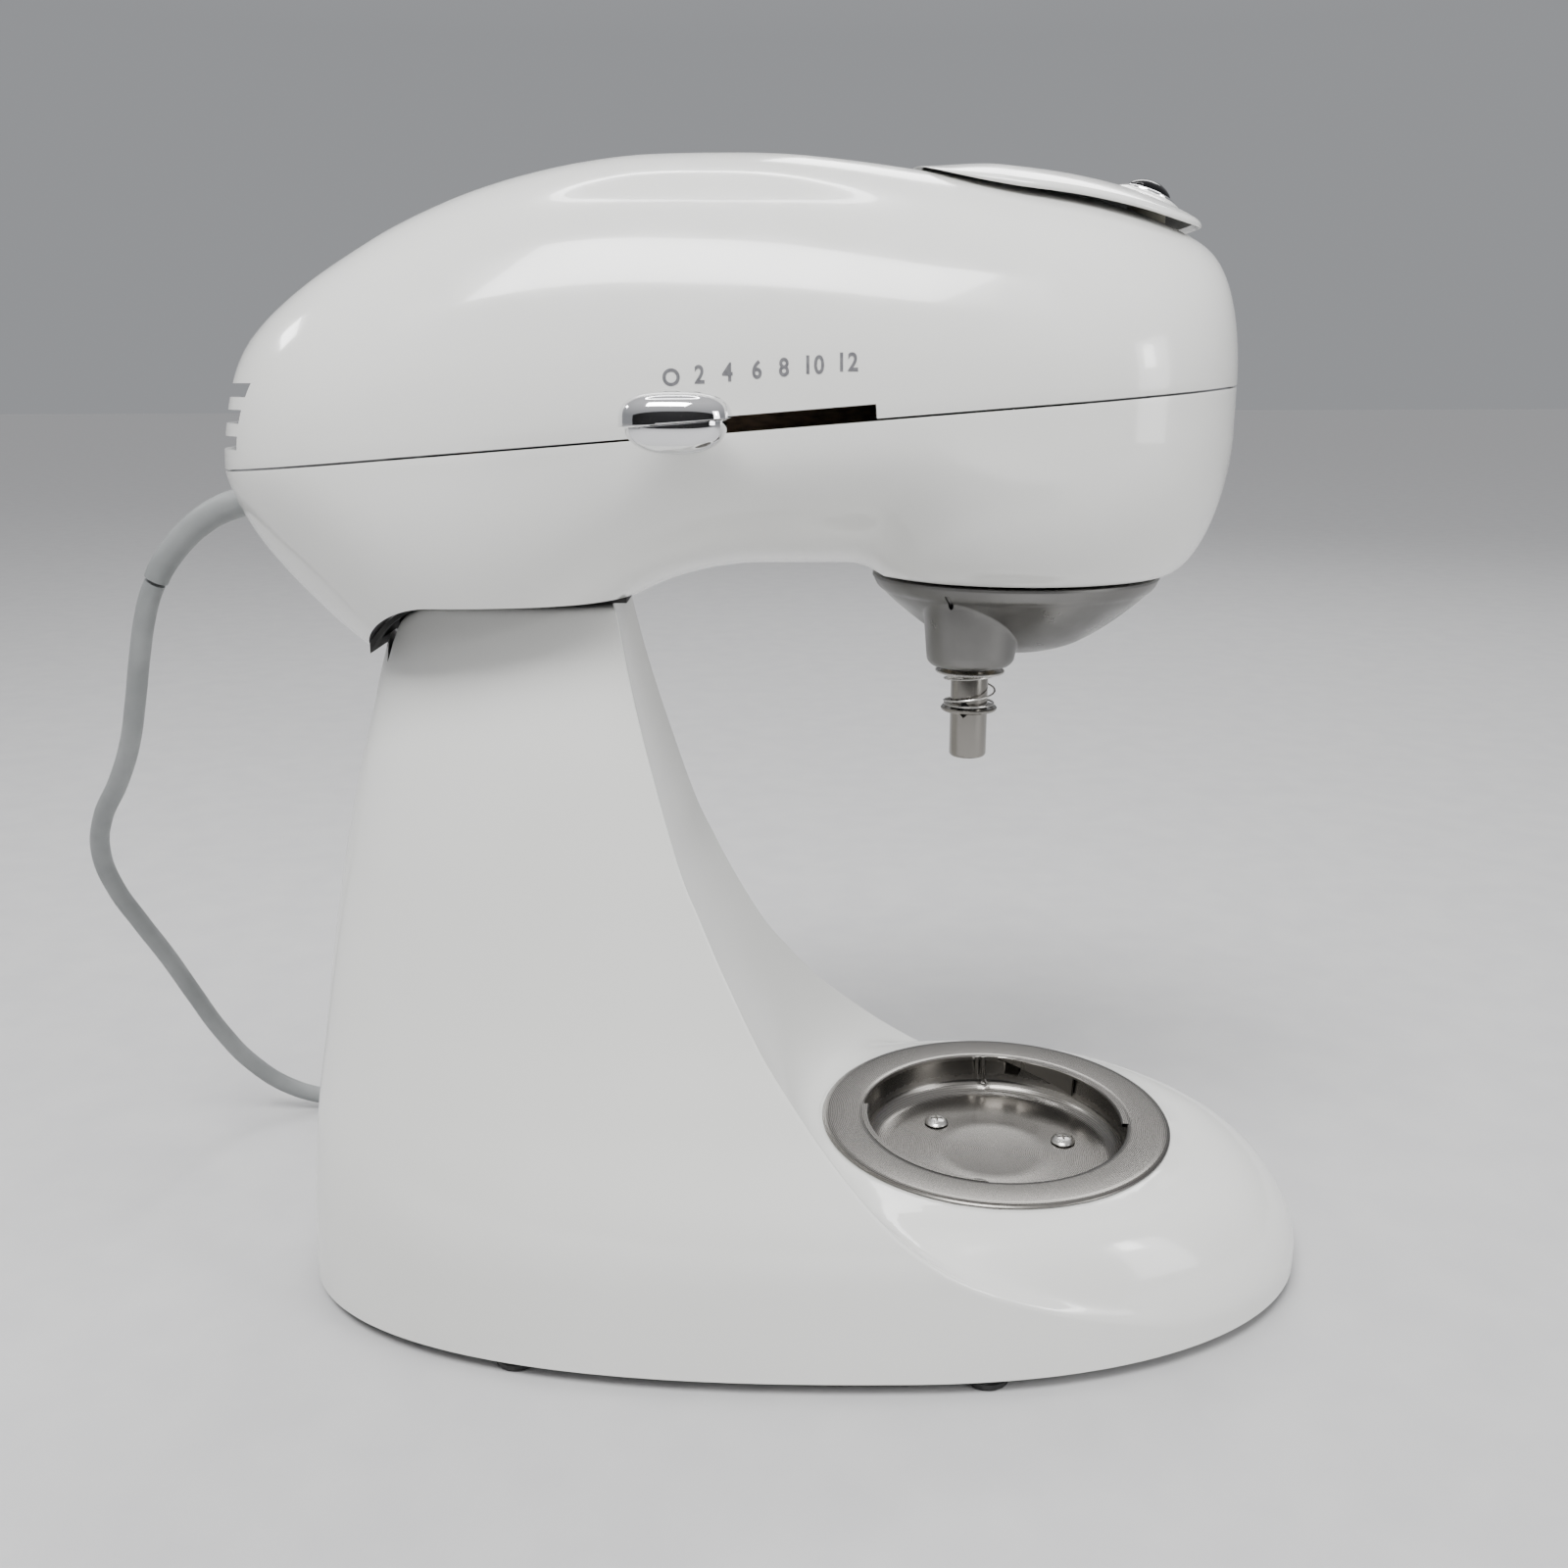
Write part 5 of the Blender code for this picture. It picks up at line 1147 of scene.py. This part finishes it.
cover = tidy_mesh(sheet("vent_visor", [start, *rows, end]), 0.002)
lean_out = Vector((math.sin(BADGE_LEAN), 0, math.cos(BADGE_LEAN)))
badge_centre = Vector((BADGE[0], 0, BADGE[1]))
cut(cover, bar("badge_well", badge_centre - lean_out * 2.2, badge_centre + lean_out * 9, 8.6, 96))
done(cover, "head", enamel, "vent_cover", angle=40, slot="white_paint")
under = finish("vent_shadow", (0.09, 0.09, 0.083), 0.6)
between(under, grain(under, 300, 3), "Fac", "Base Color", (0.07, 0.07, 0.064), (0.12, 0.12, 0.11))
cover.data.materials.append(under)
for face in cover.data.polygons:
    x, y, _ = face.center / MM
    if face.normal.z < 0 and abs((x - middle) / long) ** 2.35 + abs(y / wide) ** 2.35 < 0.86:
        face.material_index = 1
print("visor:", triangles(cover), "triangles")

# %% Badge
LEANING = Matrix.Translation(badge_centre * MM) @ Matrix.Rotation(BADGE_LEAN, 4, "Y")
BADGE_R = 8.4
ring_profile = [
    (7.3, -1.8), (BADGE_R, -1.8), (BADGE_R, 0.4), (8.25, 0.7), (7.95, 0.85), (7.6, 0.75), (7.3, 0.5), (7.3, 0.1),
]  # fmt: skip
bezel = lathe("badge_ring", ring_profile, steps=120)
bezel.data.transform(LEANING)
done(bezel, "head", chrome, "badge_bezel", slot="chrome")
dome_profile = [
    (0, 4.4), (1.6, 4.3), (3.2, 3.95), (4.8, 3.2), (6.0, 2.3), (6.8, 1.2), (7.1, 0.2), (7.1, -1.8), (0, -1.8),
]  # fmt: skip
dome = lathe("badge_button", dome_profile)
dome.data.transform(LEANING)
done(dome, "head", gloss_black, "badge_dome", slot="black_plastic")
post_x = BADGE[0]
post = bar("visor_post", (post_x, 0, 329), (post_x, 0, 341.4), 5.6, 48)
post_low = head_surface(post_x, 0) + 0.2
cut(post, block("post_end", (80, -10, 300), (120, 10, post_low), (math.radians(19.5), (post_x, 0, post_low))))
cream = finish("cream_moulding", (0.62, 0.6, 0.5), 0.45)
between(cream, grain(cream, 200, 3), "Fac", "Base Color", (0.56, 0.54, 0.44), (0.66, 0.64, 0.54))
done(post, "head", cream)
print("badge is", 2 * BADGE_R, "mm across")

# %% [markdown]
# ## Strain relief, plug and tie
# Where the cord leaves the housing a moulded sleeve keeps it from kinking. It is a curve whose
# radius shrinks towards the cord. At the other end the plug's body is a rounded block with finger
# grooves and a ribbed neck, and a strap of hook-and-loop tape holds the turns together.

# %% Strain relief
SLEEVE = [
    (-158, 0, 258.6), (-166, 0, 258.3), (-172, 0, 257.2), (-178.5, 0, 254.8), (-184.5, 0, 251.2),
    (-190, 0, 246.6), (-194.6, 0, 241.6), (-197.9, 0, 237.2), (-199.8, 0, 233.8),
]  # fmt: skip
relief = smooth_tube("cord_sleeve", SLEEVE, 4.65, 8, 8, taper=0.2)
select_only(relief)
bpy.ops.object.convert(target="MESH")
round_edges(relief, 0.6, 3, 60)
done(relief, "head", cord_grey, "strain_relief", angle=45, slot="grey_cord")
print("sleeve:", triangles(relief), "triangles")

# %% Plug
PLUG = (-66.0, 101.0, 8.4)
px, py, pz = PLUG
plug = block("plug_grip", (px, py - 12, pz - 8), (px + 30, py + 12, pz + 8))
round_edges(plug, 4.0, 5, 60)
for x in (8, 13, 18):
    for side in (-1, 1):
        groove = bar("groove", (px + x, py + side * 12.9, pz - 12), (px + x, py + side * 12.9, pz + 12), 1.6, 24)
        cut(plug, groove)
neck = added("plug_neck", bpy.ops.mesh.primitive_cone_add, vertices=48, radius1=4.3 * MM, radius2=7.2 * MM,
             depth=14 * MM, location=((px - 5) * MM, py * MM, pz * MM), rotation=(0, math.pi / 2, 0))  # fmt: skip
bpy.ops.object.transform_apply(location=True, rotation=True, scale=True)
cut(plug, neck, operation="UNION")
for x in (-9, -6, -3):
    for side in (-1, 1):
        bottom, top = pz + side * 5.3 - 0.9, pz + side * 5.3 + 0.9
        cut(plug, block("neck_slot", (px + x, py - 9, bottom), (px + x + 1.2, py + 9, top)))
done(plug, "stand", cord_grey, "plug_body", angle=40, slot="grey_cord")
for name, side in (("right", -1), ("left", 1)):
    middle_y = py + side * 6.35
    blade = block(f"blade_{name}", (px + 30.3, middle_y - 0.75, pz - 3.2), (px + 47, middle_y + 0.75, pz + 3.2))
    round_edges(blade, 0.5, 3, 60)
    cut(blade, bar("blade_hole", (px + 42, middle_y - 3, pz), (px + 42, middle_y + 3, pz), 1.5, 32))
    done(blade, "stand", brass, f"plug_blade_{name}", slot="brass")
print("plug:", triangles(plug), "triangles")

# %% Tie
DIAGONAL = 0.7071
rows = []
for k in range(49):
    a = 2 * math.pi * k / 48
    outward, upward = (math.copysign(abs(f(a)) ** 0.62, f(a)) for f in (math.cos, math.sin))
    row = []
    for grow, along in ((0.0, -3.5), (0.45, -3.5), (0.45, 3.5), (0.0, 3.5), (0.0, -3.5)):
        row.append((COIL.x - (35.0 + outward * (6.75 + grow)) * DIAGONAL - along * DIAGONAL,
                    COIL.y + (35.0 + outward * (6.75 + grow)) * DIAGONAL - along * DIAGONAL,
                    max(6.9 + upward * (6.7 + grow), 0.02 if grow else 0.15)))  # fmt: skip
    rows.append(row)
tie = tidy_mesh(sheet("cord_tie", rows))
done(tie, "stand", rubber)
print("tie:", triangles(tie), "triangles")

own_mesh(cord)

# %% [markdown]
# ## Finishes of the frame's own pieces
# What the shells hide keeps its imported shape: gears, motor, hinge and lock. Each still gets the
# finish of its real material, since it shows when the head is tilted or from below.

# %% Frame finishes
PAINTS = {
    "base_cover": black, "foot_": rubber, "hinge_pin": plain_steel, "hinge_bush": brass, "lock_shaft": plain_steel,
    "lock_lever": black, "head_hinge_bracket": casting, "motor_core": stack, "field_coil": copper,
    "motor_bracket": casting, "brush_": carbon, "gearbox_cover": casting, "ring_gear": plain_steel,
    "shaft_bush": brass, "seal_ring": rubber, "speed_board": board, "lever_track": black,
    "armature_shaft": plain_steel, "armature_core": stack, "commutator": copper, "cooling_fan": black,
    "main_shaft": plain_steel, "worm_wheel": nylon, "beater_bush": brass, "beater_pinion": plain_steel,
    "lever_arm": plain_steel,
}  # fmt: skip
for name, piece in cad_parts.items():
    paint = next((paint for start, paint in PAINTS.items() if name.startswith(start)), None)
    if paint and not piece.hide_render:
        piece.material_slots[0].material = paint
unpainted = [n for n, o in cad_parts.items() if not o.hide_render and not any(n.startswith(p) for p in PAINTS)]
print("frame pieces without a finish:", unpainted)

# %% [markdown]
# ## The stage
# A plain pale floor and soft light: a large panel above, weaker ones on the right and behind, two
# small ones that leave square glints, and a ring lamp that draws an oval in the enamel. Polished
# metal needs something dark to mirror, so a black card stands behind the camera. Ring and card are
# hidden from the camera itself.


# %% Floor and sky
def stage_piece(name, finish_used, hidden=False):
    """The object just added becomes part of the studio."""
    made = bpy.context.object
    made.name = name
    made.data.materials.append(finish_used)
    made.visible_camera = not hidden
    return made


bpy.ops.object.select_all(action="DESELECT")
bpy.ops.mesh.primitive_plane_add(size=30, location=(0, 0, 0))
pale = finish("pale_floor", (0.55, 0.55, 0.55), 0.8)
between(pale, grain(pale, 40, 5), "Fac", "Base Color", (0.535, 0.535, 0.54), (0.565, 0.565, 0.565))
stage_piece("floor", pale)

sky = bpy.data.worlds.new("studio")
bpy.context.scene.world = sky
sky.use_nodes = True
tree = sky.node_tree
direction = tree.nodes.new("ShaderNodeTexCoord")
parts = tree.nodes.new("ShaderNodeSeparateXYZ")
shade = tree.nodes.new("ShaderNodeValToRGB")
tree.links.new(direction.outputs["Generated"], parts.inputs["Vector"])
tree.links.new(parts.outputs["Z"], shade.inputs["Fac"])
tree.links.new(shade.outputs["Color"], tree.nodes["Background"].inputs["Color"])
shade.color_ramp.elements[0].position, shade.color_ramp.elements[0].color = 0.2, (0.42, 0.43, 0.45, 1)
shade.color_ramp.elements[1].position, shade.color_ramp.elements[1].color = 0.9, (1.0, 1.0, 1.02, 1)
tree.nodes["Background"].inputs["Strength"].default_value = 0.75
print("floor and sky")


# %% Lamps
def panel(name, place, aim, size, power, other=None):
    """A soft light at a place, turned towards another; sizes are in metres."""
    bpy.ops.object.light_add(type="AREA", location=[v * MM for v in place])
    lamp = bpy.context.object
    lamp.name = name
    lamp.rotation_euler = (Vector(aim) - Vector(place)).to_track_quat("-Z", "Y").to_euler()
    lamp.data.shape, lamp.data.size, lamp.data.size_y, lamp.data.energy = "RECTANGLE", size, other or size, power
    return lamp


panel("key", (-300, -900, 1700), (0, 0, 150), 0.9, 42, 0.6)
panel("fill", (1500, -900, 600), (0, 0, 200), 0.6, 9, 0.9)
panel("rim", (500, 1500, 1500), (0, 0, 200), 1.0, 12, 0.5)
panel("glint_front", (880, -585, 590), (120, -40, 280), 0.12, 1.4, 0.2)
panel("glint_rear", (-885, 215, 870), (-100, -30, 300), 0.2, 1.4, 0.1)

glow = bpy.data.materials.new("ring_lamp")
glow.use_nodes = True
emitter = glow.node_tree.nodes["Principled BSDF"]
emitter.inputs["Emission Color"].default_value = (1, 1, 1, 1)
emitter.inputs["Emission Strength"].default_value = 22.0
RING, RING_AIM = Vector((-0.1, 0.19, 1.08)), Vector((-0.04, -0.03, 0.34))
bpy.ops.mesh.primitive_torus_add(location=RING, rotation=(RING_AIM - RING).to_track_quat("-Z", "Y").to_euler(),
                                 major_radius=0.2, minor_radius=0.012, major_segments=96, minor_segments=12)  # fmt: skip
stage_piece("ring_lamp", glow, hidden=True)

bpy.ops.mesh.primitive_plane_add(size=1, location=(0, -1.5, 0.45), rotation=(math.pi / 2, 0, 0))
bpy.context.object.scale = (5.0, 0.9, 1)
stage_piece("dark_card", finish("dark_card", (0.01, 0.01, 0.011), 0.9), hidden=True)
print("five panels, a ring and a card")
